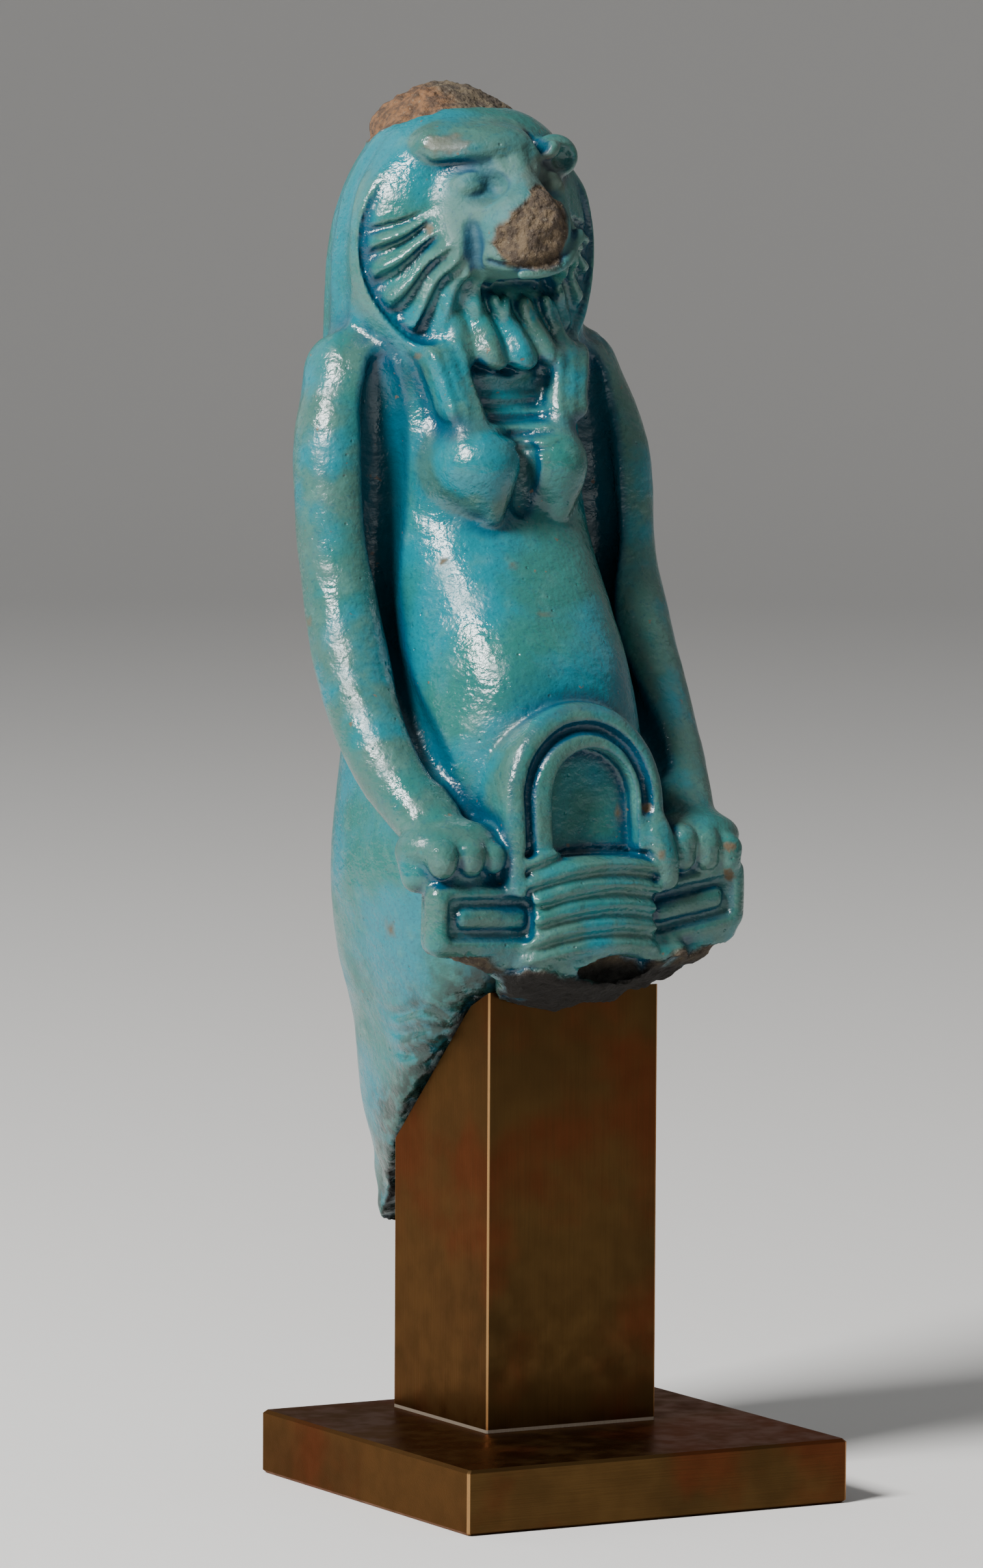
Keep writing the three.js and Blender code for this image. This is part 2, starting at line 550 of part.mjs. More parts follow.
// A queue that gives back the entry of least cost.
class Queue {
  constructor() {
    this.entries = [];
  }

  push(entry) {
    const list = this.entries;
    let n = list.push(entry) - 1;
    while (n > 0 && list[(n - 1) >> 1].cost > list[n].cost) {
      const parent = (n - 1) >> 1;
      [list[n], list[parent]] = [list[parent], list[n]];
      n = parent;
    }
  }

  pop() {
    const list = this.entries;
    const first = list[0];
    const last = list.pop();
    if (!list.length) return first;
    list[0] = last;
    for (let n = 0; ;) {
      let least = 2 * n + 1;
      if (least + 1 < list.length && list[least + 1].cost < list[least].cost) least += 1;
      if (least >= list.length || list[least].cost >= list[n].cost) return first;
      [list[n], list[least]] = [list[least], list[n]];
      n = least;
    }
  }
}

// Squared distances to the planes of a point's triangles, as the ten terms of a quadratic form.
function planeTerms(a, b, c) {
  const normal = b.clone().sub(a).cross(c.clone().sub(a));
  const area = normal.length() || 1e-12;
  const [x, y, z] = normal.divideScalar(area).toArray();
  const w = -normal.dot(a);
  return [x * x, x * y, x * z, x * w, y * y, y * z, y * w, z * z, z * w, w * w].map((term) => term * area);
}

function errorAt(q, p) {
  return q[0] * p.x * p.x + 2 * q[1] * p.x * p.y + 2 * q[2] * p.x * p.z + 2 * q[3] * p.x + q[4] * p.y * p.y
    + 2 * q[5] * p.y * p.z + 2 * q[6] * p.y + q[7] * p.z * p.z + 2 * q[8] * p.z + q[9];
}

// Closes the edges that change the surface least, until only so many triangles are left.
function simplify({ points, triangles }, kept) {
  const terms = points.map(() => new Array(10).fill(0));
  const around = points.map(() => new Set());
  const age = new Uint32Array(points.length);
  triangles.forEach((triangle, n) => {
    const plane = planeTerms(...triangle.map((v) => points[v]));
    for (const v of triangle) {
      around[v].add(n);
      plane.forEach((term, i) => { terms[v][i] += term; });
    }
  });
  const neighbours = (v) => {
    const found = new Set([...around[v]].flatMap((n) => triangles[n]));
    found.delete(v);
    return found;
  };
  const queue = new Queue();
  const consider = (a, b) => {
    const q = terms[a].map((term, i) => term + terms[b][i]);
    const matrix = new THREE.Matrix3().set(q[0], q[1], q[2], q[1], q[4], q[5], q[2], q[5], q[7]);
    const middle = points[a].clone().lerp(points[b], 0.5);
    const choices = [middle, points[a], points[b]];
    if (Math.abs(matrix.determinant()) > 1e-4 * (q[0] + q[4] + q[7]) ** 3) {
      const best = new THREE.Vector3(-q[3], -q[6], -q[8]).applyMatrix3(matrix.invert());
      if (best.distanceTo(middle) < 2 * points[a].distanceTo(points[b])) choices.unshift(best);
    }
    const costs = choices.map((p) => errorAt(q, p));
    const cost = Math.min(...costs);
    const to = choices[costs.indexOf(cost)].clone();
    const length = points[a].distanceToSquared(points[b]);
    queue.push({ cost: cost + 1e-5 * length, a, b, to, q, age: age[a] + age[b] });
  };
  points.forEach((_, a) => neighbours(a).forEach((b) => { if (a < b) consider(a, b); }));
  const turns = (v, other, to) => [...around[v]].some((n) => {
    const triangle = triangles[n];
    if (triangle.includes(other)) return false;
    const [p, q, r] = triangle.map((u) => points[u]);
    const [s, t, w] = triangle.map((u) => (u === v ? to : points[u]));
    const before = q.clone().sub(p).cross(r.clone().sub(p));
    const after = t.clone().sub(s).cross(w.clone().sub(s));
    const longest = Math.max(s.distanceToSquared(t), t.distanceToSquared(w), w.distanceToSquared(s));
    return before.dot(after) < 0.3 * before.length() * after.length() || after.length() < 0.04 * longest;
  });
  let left = triangles.length;
  while (left > kept && queue.entries.length) {
    const { a, b, to, q, age: then } = queue.pop();
    if (!around[a].size || !around[b].size || age[a] + age[b] !== then) continue;
    const [ringA, ringB] = [neighbours(a), neighbours(b)];
    if (!ringA.has(b) || [...ringA].filter((v) => ringB.has(v)).length !== 2) continue;
    if (turns(a, b, to) || turns(b, a, to)) continue;
    points[a] = to;
    terms[a] = q;
    for (const n of [...around[b]]) {
      if (triangles[n].includes(a)) {
        triangles[n].forEach((v) => around[v].delete(n));
        triangles[n] = null;
        left -= 1;
      } else {
        triangles[n] = triangles[n].map((v) => (v === b ? a : v));
        around[a].add(n);
      }
    }
    around[b].clear();
    age[a] += 1;
    neighbours(a).forEach((v) => consider(a, v));
  }
  return { points, triangles: triangles.filter(Boolean) };
}

// A three.js geometry as a solid, and back.
function solidOf(geometry) {
  const bare = geometry.clone();
  bare.deleteAttribute('normal');
  bare.deleteAttribute('uv');
  const merged = mergeVertices(bare, 1e-3);
  const triVerts = new Uint32Array(merged.index.array);
  const vertProperties = merged.attributes.position.array;
  return new wasm.Manifold(new wasm.Mesh({ numProp: 3, vertProperties, triVerts }));
}

function geometryOf(solid) {
  const mesh = solid.getMesh();
  const geometry = new THREE.BufferGeometry();
  geometry.setAttribute('position', new THREE.BufferAttribute(new Float32Array(mesh.vertProperties), 3));
  geometry.setIndex(new THREE.BufferAttribute(new Uint32Array(mesh.triVerts), 1));
  geometry.computeVertexNormals();
  return geometry;
}

// The post, or with an allowance, the room that it needs with a gap all round.
function postSolid(allowance = 0) {
  const half = POST_SIDE / 2 + allowance;
  const cut = half - POST_CHAMFER;
  const outline = new THREE.Shape([[cut, -half], [half, -cut], [half, cut], [cut, half],
    [-cut, half], [-half, cut], [-half, -cut], [-cut, -half]].map(([x, y]) => new THREE.Vector2(x, y)));
  const bottom = PLINTH_THICKNESS + CONTACT_GAP;
  const bar = new THREE.ExtrudeGeometry(outline, { depth: POST_FRONT_TOP + 4 - bottom, bevelEnabled: false });
  bar.translate(POST_X, POST_Y, bottom);
  const lift = 1.4 * allowance;
  const stations = [POST_FRONT - 2, POST_FRONT, POST_FRONT + POST_SHOULDER_RUN, POST_BACK, POST_BACK + 2];
  const profile = stations.map((y) => new THREE.Vector2(y, slopeAt(y) + lift));
  profile.push(new THREE.Vector2(POST_BACK + 2, 60), new THREE.Vector2(POST_FRONT - 2, 60));
  const across = { depth: 3 * POST_SIDE, bevelEnabled: false };
  const waste = new THREE.ExtrudeGeometry(new THREE.Shape(profile), across);
  waste.applyMatrix4(new THREE.Matrix4().makeBasis(
    new THREE.Vector3(0, 1, 0), new THREE.Vector3(0, 0, 1), new THREE.Vector3(1, 0, 0),
  ));
  waste.translate(-1.5 * POST_SIDE, 0, 0);
  return solidOf(bar).subtract(solidOf(waste));
}

function plinthGeometry() {
  const half = PLINTH_SIDE / 2 - PLINTH_BEVEL;
  const outline = new THREE.Shape([[half, half], [-half, half], [-half, -half], [half, -half]]
    .map(([x, y]) => new THREE.Vector2(x, y)));
  const plate = new THREE.ExtrudeGeometry(outline, {
    depth: PLINTH_THICKNESS - 2 * PLINTH_BEVEL,
    bevelThickness: PLINTH_BEVEL,
    bevelSize: PLINTH_BEVEL,
    bevelSegments: 1,
  });
  plate.translate(0, 0, PLINTH_BEVEL);
  return plate;
}

function figureGeometry() {
  const clay = new Clay(BLOCK_LOW, BLOCK_HIGH, CELL);
  const steps = [makeBody, makeHead, makeFace, makeEars, makeMane, makeBeard, makeBreasts, makeSignArch,
    makeSignTie, makeSignTabs, makeHands, makeFoldsAndTail, breakHead, breakSignFoot, breakLegs];
  for (const step of steps) step(clay);
  const { points, triangles } = simplify(polygonise(clay), KEPT_TRIANGLES);
  const geometry = new THREE.BufferGeometry().setFromPoints(points);
  geometry.setIndex(triangles.flat());
  geometry.translate(MID_X, 0, 0);
  return geometry;
}

const faience = new THREE.MeshStandardMaterial({ color: 0x3fa3ad, roughness: 0.28, metalness: 0 });
const brass = new THREE.MeshStandardMaterial({ color: 0x7a5a2a, roughness: 0.42, metalness: 1 });

const object = new THREE.Group();
function place(name, geometry, material) {
  const mesh = new THREE.Mesh(geometry, material);
  mesh.name = name;
  object.add(mesh);
}

place('amulet', geometryOf(solidOf(figureGeometry()).subtract(postSolid(CONTACT_GAP))), faience);
place('mount_post', geometryOf(postSolid()), brass);
place('mount_plinth', plinthGeometry(), brass);

export default object;
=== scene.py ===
"""A broken faience amulet of a lion-headed hippopotamus goddess on its brass post and plinth.

Forms and places are written in millimetres, with +Z up and the figure facing -Y, and become metres
where a mesh, a light or the camera is made. The figure's own x is counted from its upright mid-plane.
"""

import logging
import math
from dataclasses import dataclass, field
from enum import Enum
from typing import Callable, Sequence

import bpy
import numpy as np
from mathutils import Matrix, Vector


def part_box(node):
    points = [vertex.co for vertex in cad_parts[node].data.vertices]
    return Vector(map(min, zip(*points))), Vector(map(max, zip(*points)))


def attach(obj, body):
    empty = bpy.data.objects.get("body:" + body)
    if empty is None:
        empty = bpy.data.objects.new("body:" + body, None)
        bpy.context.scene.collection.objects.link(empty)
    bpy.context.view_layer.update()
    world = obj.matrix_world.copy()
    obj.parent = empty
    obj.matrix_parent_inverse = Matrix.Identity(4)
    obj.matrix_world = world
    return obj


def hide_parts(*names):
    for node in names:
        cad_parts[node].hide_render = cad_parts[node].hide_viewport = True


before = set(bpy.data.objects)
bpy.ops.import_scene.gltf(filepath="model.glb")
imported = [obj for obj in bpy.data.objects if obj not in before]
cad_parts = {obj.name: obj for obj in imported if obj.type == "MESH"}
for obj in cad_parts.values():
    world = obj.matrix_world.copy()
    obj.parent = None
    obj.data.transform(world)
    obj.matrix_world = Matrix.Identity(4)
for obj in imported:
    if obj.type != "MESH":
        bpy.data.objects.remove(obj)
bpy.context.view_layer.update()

MM = 0.001
BODY = "root"

# The distance that stands for far away, and the least values that keep divisions finite.
FAR_AWAY = 9.0
LEAST_GRADIENT = 1e-6
LEAST_LEVEL = 1e-3
LEAST_SLOPE = 1e-4
LEAST_LENGTH = 1e-9

log = logging.getLogger("amulet")

Array = np.ndarray
Triple = tuple[float, float, float]
Field = Callable[[Array, Array, Array], Array]
Profile = Callable[[Array], Array]
Socket = bpy.types.NodeSocket


class Slot(Enum):
    """Material slots of the record."""

    FAIENCE = "faience"
    BRASS = "brass"


class Mask(Enum):
    """Point attributes that the finishes read."""

    # Painted shade, darkest in closed-in hollows and creases.
    HOLLOW_SHADE = "hollow"
    RIDGE = "ridge"
    RAISED = "raised"
    BARE = "bare"
    RUDDY = "ruddy"
    # Painted shadow: near-black on bare core low on the figure.
    UNDERSIDE_SHADOW = "underside_shadow"
    STAIN = "stain"
    # Painted shade with grime near the legs' joint with the post.
    GRIME_AND_SHADE = "grime_and_shade"
    # Polish with painted highlight on the brass's cut corners.
    POLISH_AND_HIGHLIGHT = "polish_and_highlight"
    DUST = "dust"
    DULL = "dull"


def ease(low: float, high: float, t: Array) -> Array:
    """Smooth step from 0 at low to 1 at high: 3s^2 - 2s^3 of the clipped fraction s."""
    s = np.clip((t - low) / (high - low), 0.0, 1.0)
    return s * s * (3.0 - 2.0 * s)


def bump(t: Array) -> Array:
    """A smooth hill of height 1 at t = 0 that ends at t = -1 and t = 1."""
    return ease(0.0, 1.0, 1.0 - np.abs(t))


def between(start: float, end: float, soft: float, t: Array) -> Array:
    """1 between start and end, falling smoothly to 0 over the width soft inside each."""
    return ease(start, start + soft, t) * (1.0 - ease(end - soft, end, t))


def wave(t: Array) -> Array:
    """A cosine between 0 and 1 with its crests at whole numbers."""
    return 0.5 + 0.5 * np.cos(2.0 * np.pi * t)


def blend(a: Array, b: Array, radius: float) -> Array:
    """The lesser of two distances, less h^2 r / 4 near a tie, which rounds the corner between them."""
    h = np.maximum(radius - np.abs(a - b), 0.0) / radius
    return np.minimum(a, b) - h * h * radius / 4.0


@dataclass
class Grain:
    """Seeded value noise: random numbers on a cubic lattice, smoothly interpolated and repeated."""

    seed: int = 7
    side: int = 32
    offset: float = 0.37
    octave_shift: float = 11.3
    lattice: Array = field(init=False)

    def __post_init__(self) -> None:
        """Fills the lattice with numbers between -1 and 1."""
        self.lattice = np.random.default_rng(self.seed).uniform(-1.0, 1.0, (self.side,) * 3)

    def plain(self, points: Array, pitch: float) -> Array:
        """One octave of noise.

        Args:
            points: places, one row each, in millimetres.
            pitch: lattice spacing in millimetres.

        Returns:
            One value between -1 and 1 for each place.
        """
        scaled = points / pitch + self.offset
        cell = np.floor(scaled).astype(int)
        t = scaled - cell
        t = t * t * (3.0 - 2.0 * t)
        total = np.zeros(len(points))
        for corner in np.ndindex(2, 2, 2):
            at = (cell + corner) % self.side
            weight = np.prod(np.where(corner, t, 1.0 - t), axis=1)
            total += weight * self.lattice[at[:, 0], at[:, 1], at[:, 2]]
        return total

    def fractal(self, points: Array, pitch: float, octaves: int = 4, fall: float = 0.55) -> Array:
        """A sum of octaves, each half as wide as the last and lower by the factor fall.

        Args:
            points: places, one row each, in millimetres.
            pitch: spacing of the widest octave, in millimetres.
            octaves: how many octaves are added.
            fall: each octave's height as a share of the last.

        Returns:
            One value for each place.
        """
        shifts = [self.octave_shift * n for n in range(octaves)]
        layers = [fall**n * self.plain(points + shift, pitch / 2.0**n) for n, shift in enumerate(shifts)]
        return np.sum(layers, axis=0)


GRAIN = Grain()


@dataclass(frozen=True)
class Ball:
    """An ellipsoid, by its middle and half sizes."""

    centre: Triple
    radii: Triple

    def distance(self, x: Array, y: Array, z: Array) -> Array:
        """k (k - 1) / g, where k is the scaled radius and g the length of its gradient times k.

        Args:
            x: places across the figure, from its mid-plane.
            y: places from front to back.
            z: heights.

        Returns:
            Distance at each place, negative inside.
        """
        p = [(v - c) / r for v, c, r in zip((x, y, z), self.centre, self.radii)]
        k = np.sqrt(p[0] ** 2 + p[1] ** 2 + p[2] ** 2)
        g = np.sqrt(sum((q / r) ** 2 for q, r in zip(p, self.radii)))
        return k * (k - 1.0) / np.maximum(g, LEAST_GRADIENT)

    def room(self) -> tuple[Array, Array]:
        """Lowest and highest corner."""
        return np.subtract(self.centre, self.radii), np.add(self.centre, self.radii)


@dataclass(frozen=True)
class Block:
    """A box with rounded edges, by its middle, half sizes and edge radius."""

    centre: Triple
    half: Triple
    edge: float

    def distance(self, x: Array, y: Array, z: Array) -> Array:
        """Distance to the box that is smaller by the edge radius, less that radius.

        Args:
            x: places across the figure, from its mid-plane.
            y: places from front to back.
            z: heights.

        Returns:
            Distance at each place, negative inside.
        """
        q = [np.abs(v - c) - h + self.edge for v, c, h in zip((x, y, z), self.centre, self.half)]
        outside = np.sqrt(sum(np.maximum(v, 0.0) ** 2 for v in q))
        return outside + np.minimum(np.maximum(np.maximum(q[0], q[1]), q[2]), 0.0) - self.edge

    def room(self) -> tuple[Array, Array]:
        """Lowest and highest corner."""
        return np.subtract(self.centre, self.half), np.add(self.centre, self.half)


@dataclass(frozen=True)
class Limb:
    """A round limb, ridge or groove along a smooth course of x, y, z and radius stations."""

    stations: tuple[tuple[float, float, float, float], ...]
    steps: int = 5

    def sections(self) -> Array:
        """The stations joined by a Catmull-Rom curve, sampled in equal steps of its parameter.

        Returns:
            Rows of x, y, z and radius.
        """
        p = np.array(self.stations, float)
        if len(p) < 3:
            return p
        q = np.vstack([2 * p[0] - p[1], p, 2 * p[-1] - p[-2]])
        t = (np.arange(self.steps) / self.steps)[None, :, None]
        a, b, c, d = (q[i : i + len(p) - 1, None, :] for i in range(4))
        curve = 2 * b + (c - a) * t + (2 * a - 5 * b + 4 * c - d) * t**2 + (3 * b - a - 3 * c + d) * t**3
        return np.vstack([(0.5 * curve).reshape(-1, 4), p[-1]])

    def distance(self, x: Array, y: Array, z: Array) -> Array:
        """The least distance to the course's straight pieces, less the radius at the nearest point.

        Args:
            x: places across the figure, from its mid-plane.
            y: places from front to back.
            z: heights.

        Returns:
            Distance at each place, negative inside.
        """
        nearest = np.full(np.broadcast(x, y, z).shape, FAR_AWAY, np.float32)
        sections = self.sections()
        for a, b in zip(sections[:-1], sections[1:]):
            d = b - a
            along = (x - a[0]) * d[0] + (y - a[1]) * d[1] + (z - a[2]) * d[2]
            t = np.clip(along / (d[:3] @ d[:3]), 0.0, 1.0)
            off = [v - a[n] - d[n] * t for n, v in enumerate((x, y, z))]
            away = np.sqrt(off[0] ** 2 + off[1] ** 2 + off[2] ** 2)
            np.minimum(nearest, away - a[3] - d[3] * t, out=nearest)
        return nearest

    def room(self) -> tuple[Array, Array]:
        """Lowest and highest corner."""
        s = self.sections()
        return (s[:, :3] - s[:, 3:]).min(0), (s[:, :3] + s[:, 3:]).max(0)


@dataclass(frozen=True)
class Loft:
    """A body with a superellipse section at each height, from rows of height, half width, front, back."""

    rows: tuple[tuple[float, float, float, float], ...]
    power: float
    low: float
    high: float
    rounding: float
    flat_share: float = 0.7

    def section(self, z: Array) -> list[Array]:
        """Half width, front and back at each height, by cubic curves that run smoothly through the rows.

        Args:
            z: heights.

        Returns:
            The three values, each as an array like z.
        """
        table = np.array(self.rows)
        heights = table[:, 0]
        height = np.clip(z, heights[0], heights[-1])
        i = np.clip(np.searchsorted(heights, height, side="right") - 1, 0, len(heights) - 2)
        slopes = np.empty_like(table[:, 1:])
        slopes[1:-1] = (table[2:, 1:] - table[:-2, 1:]) / (heights[2:] - heights[:-2])[:, None]
        slopes[0] = (table[1, 1:] - table[0, 1:]) / (heights[1] - heights[0])
        slopes[-1] = (table[-1, 1:] - table[-2, 1:]) / (heights[-1] - heights[-2])
        span = heights[i + 1] - heights[i]
        t = (height - heights[i]) / span
        columns = []
        for k in range(3):
            a, b = table[i, k + 1], table[i + 1, k + 1]
            p, q = slopes[i, k] * span, slopes[i + 1, k] * span
            columns.append(a + t * (p + t * (3 * (b - a) - 2 * p - q + t * (2 * (a - b) + p + q))))
        return columns

    def distance(self, x: Array, y: Array, z: Array) -> Array:
        """The superellipse's level less 1, over its gradient, held in by the two ends.

        Args:
            x: places across the figure, from its mid-plane.
            y: places from front to back.
            z: heights.

        Returns:
            Distance at each place, negative inside.
        """
        width, front, back = self.section(z)
        depth = (back - front) / 2.0
        n = self.power
        px = np.abs(x) / width
        py = np.abs(y - (front + back) / 2.0) / depth
        k = (px**n + py**n) ** (1.0 / n)
        slope = np.sqrt((px ** (n - 1) / width) ** 2 + (py ** (n - 1) / depth) ** 2)
        away = (k - 1.0) * np.maximum(k, LEAST_LEVEL) ** (n - 1) / np.maximum(slope, LEAST_SLOPE)
        side = np.minimum(away, np.maximum((k - 1.0) * np.minimum(width, depth), self.flat_share * away))
        return -blend(-side, np.minimum(z - self.low, self.high - z), self.rounding)

    def room(self) -> tuple[Array, Array]:
        """Lowest and highest corner.

        Returns:
            The two corners.
        """
        table = np.array(self.rows)
        width, front, back = table[:, 1].max(), table[:, 2].min(), table[:, 3].max()
        return np.array([-width, front, self.low]), np.array([width, back, self.high])


@dataclass(frozen=True)
class Carving:
    """A form given by its own distance formula and the corners of its room."""

    formula: Field
    low: Triple
    high: Triple

    def distance(self, x: Array, y: Array, z: Array) -> Array:
        """The formula's value."""
        return self.formula(x, y, z)

    def room(self) -> tuple[Array, Array]:
        """Lowest and highest corner."""
        return np.array(self.low), np.array(self.high)


Form = Ball | Block | Limb | Loft | Carving
Rule = Callable[[Array, Array], Array]


class Clay:
    """The figure as a block of distances to its surface, joined, carved and raised form by form."""

    def __init__(self, half_width: float, low: Sequence[float], high: Sequence[float], cell: float) -> None:
        """Makes an empty block.

        Args:
            half_width: how far the block reaches to either side of the mid-plane.
            low: its lowest y and z.
            high: its highest y and z.
            cell: spacing of the samples.
        """
        self.cell = cell
        self.margin = 4.0 * cell
        self.middle = math.ceil(half_width / cell)
        across = (np.arange(2 * self.middle + 1) - self.middle) * cell
        rest = [np.arange(a, b + cell, cell) for a, b in zip(low, high)]
        self.axes = [axis.astype(np.float32) for axis in (across, *rest)]
        self.away = np.full([len(axis) for axis in self.axes], FAR_AWAY, np.float32)

    def _slices(self, low: Array, high: Array) -> list[slice]:
        """The stretch of samples along each axis that covers a box.

        Args:
            low: the box's lowest corner.
            high: the box's highest corner.

        Returns:
            One stretch for each axis.
        """
        stretches = []
        for axis, a, b in zip(self.axes, low, high):
            first, last = np.searchsorted(axis, [a, b])
            stretches.append(slice(max(first - 1, 0), min(last + 1, len(axis))))
        return stretches

    def _open(self, slices: Sequence[slice]) -> list[Array]:
        """Coordinates of a stretch, shaped so that they broadcast to its block."""
        x, y, z = (axis[s] for axis, s in zip(self.axes, slices))
        return [x[:, None, None], y[None, :, None], z[None, None, :]]

    def _change(self, form: Form, radius: float, sides: bool, rule: Rule) -> None:
        """Applies a rule to the block around a form.

        Args:
            form: the form that is added or taken away.
            radius: rounding, which widens the block that is worked on.
            sides: True where the form stands on both sides of the mid-plane.
            rule: gives the new distances from the old ones and the form's.
        """
        low, high = form.room()
        low, high = low - radius - self.margin, high + radius + self.margin
        if sides:
            low[0] = max(low[0], 0.0)
        slices = self._slices(low, high)
        if not sides:
            own = form.distance(*self._open(slices))
            self.away[tuple(slices)] = rule(self.away[tuple(slices)], own)
            return
        first, last = max(slices[0].start, self.middle), slices[0].stop
        slices[0] = slice(first, last)
        own = form.distance(*self._open(slices))
        right = self.away[tuple(slices)]
        right[...] = rule(right, own)
        start = max(first, self.middle + 1)
        mirrored = slice(2 * self.middle - last + 1, 2 * self.middle - start + 1)
        left = self.away[mirrored, slices[1], slices[2]][::-1]
        left[...] = rule(left, own[start - first :])

    def join(self, form: Form, radius: float, sides: bool = False) -> None:
        """Adds a form, with a fillet of that radius."""
        self._change(form, radius, sides, lambda old, own: blend(old, own, radius))

    def carve(self, form: Form, radius: float, sides: bool = False) -> None:
        """Takes a form away, with a rounded lip of that radius."""
        self._change(form, radius, sides, lambda old, own: -blend(-old, own, radius))

    def carve_tapered(self, form: Form, widest: float, least: float, share: Profile) -> None:
        """Takes a form away, with a lip that narrows along y.

        Args:
            form: the form that is taken away.
            widest: how far the lip's radius can grow above the least one.
            least: the least radius.
            share: the part of that growth at each y.
        """
        low, high = form.room()
        slices = self._slices(low - self.margin, high + self.margin)
        x, y, z = self._open(slices)
        part = self.away[tuple(slices)]
        part[...] = -blend(-part, form.distance(x, y, z), widest * share(y) + least)

    def raise_by(self, low: Triple, high: Triple, relief: Field, reach: float = 2.5) -> None:
        """Raises the surface inside a box by a relief that is worked out close to it.

        Args:
            low: the box's lowest corner.
            high: its highest corner.
            relief: height of the relief at each place.
            reach: how far from the surface the distances are changed.
        """
        slices = tuple(self._slices(np.array(low), np.array(high)))
        part = self.away[slices]
        near = np.abs(part) < reach
        at = np.nonzero(near)
        x, y, z = (axis[s][i] for axis, s, i in zip(self.axes, slices, at))
        part[near] -= relief(x, y, z).astype(np.float32)

    def sample(self, points: Array) -> Array:
        """Distances at any places, by trilinear interpolation between the samples.

        Args:
            points: places, one row each, in millimetres.

        Returns:
            One distance for each place.
        """
        origin = np.array([axis[0] for axis in self.axes])
        scaled = (points - origin) / self.cell
        cell = np.clip(np.floor(scaled).astype(int), 0, np.array(self.away.shape) - 2)
        t = np.clip(scaled - cell, 0.0, 1.0)
        total = np.zeros(len(points))
        for corner in np.ndindex(2, 2, 2):
            weight = np.prod(np.where(corner, t, 1.0 - t), axis=1)
            total += weight * self.away[tuple((cell + corner).T)]
        return total

    def normals(self, points: Array) -> Array:
        """Unit directions away from the surface, by central differences of the distances.

        Args:
            points: places, one row each, in millimetres.

        Returns:
            One direction for each place.
        """
        step = np.eye(3) * self.cell
        slope = np.stack([self.sample(points + s) - self.sample(points - s) for s in step], axis=1)
        return slope / np.maximum(np.linalg.norm(slope, axis=1, keepdims=True), LEAST_LENGTH)

    def skin(self) -> tuple[Array, Array]:
        """The surface as a closed net of four-sided faces.

        Each cell that the surface crosses gets one point, the mean of the crossings on its twelve
        edges, and each grid edge that is crossed gets the face between its four cells' points. The
        points are then moved along the slope of the distances until they lie on the surface.

        Returns:
            The points and the faces, as rows of four point numbers that turn outwards.
        """
        inside = self.away < 0.0
        shape = np.array(self.away.shape) - 1
        filled = np.zeros(shape, np.uint8)
        for a, b, c in np.ndindex(2, 2, 2):
            filled += inside[a : a + shape[0], b : b + shape[1], c : c + shape[2]]
        cells = np.argwhere((filled > 0) & (filled < 8))
        number = np.full(shape, -1, np.int64)
        number[tuple(cells.T)] = np.arange(len(cells))
        total, count = np.zeros((len(cells), 3)), np.zeros(len(cells))
        for axis in range(3):
            step = np.eye(3, dtype=int)[axis]
            for corner in np.ndindex(2, 2, 2):
                if corner[axis]:
                    continue
                a = self.away[tuple((cells + corner).T)]
                b = self.away[tuple((cells + corner + step).T)]
                crossed = (a < 0.0) != (b < 0.0)
                t = np.where(crossed, a / np.where(crossed, a - b, 1.0), 0.0)
                total += crossed[:, None] * (np.array(corner) + t[:, None] * step)
                count += crossed
        origin = np.array([axis[0] for axis in self.axes])
        points = origin + self.cell * (cells + total / count[:, None])
        rounds, longest, pace = 3, 0.5 * self.cell, 0.8
        for _ in range(rounds):
            off = np.clip(self.sample(points), -longest, longest)
            points = points - pace * off[:, None] * self.normals(points)
        return points, self._faces(inside, number)

    @staticmethod
    def _faces(inside: Array, number: Array) -> Array:
        """A face round each grid edge that the surface crosses.

        Args:
            inside: True at each sample inside the figure.
            number: each cell's point number, or -1.

        Returns:
            Rows of four point numbers, turned outwards.
        """
        faces = []
        for axis in range(3):
            u, v = (axis + 1) % 3, (axis + 2) % 3
            first = np.take(inside, range(inside.shape[axis] - 1), axis)
            second = np.take(inside, range(1, inside.shape[axis]), axis)
            for leaving in (True, False):
                edges = np.argwhere((first & ~second) if leaving else (~first & second))
                edges = edges[(edges[:, u] > 0) & (edges[:, v] > 0)]
                du, dv = np.eye(3, dtype=int)[u], np.eye(3, dtype=int)[v]
                ring = [edges - du - dv, edges - dv, edges, edges - du]
                quad = np.stack([number[tuple(cell.T)] for cell in ring], axis=1)
                faces.append(quad if leaving else quad[:, ::-1])
        faces = np.vstack(faces)
        return faces[(faces >= 0).all(axis=1)]


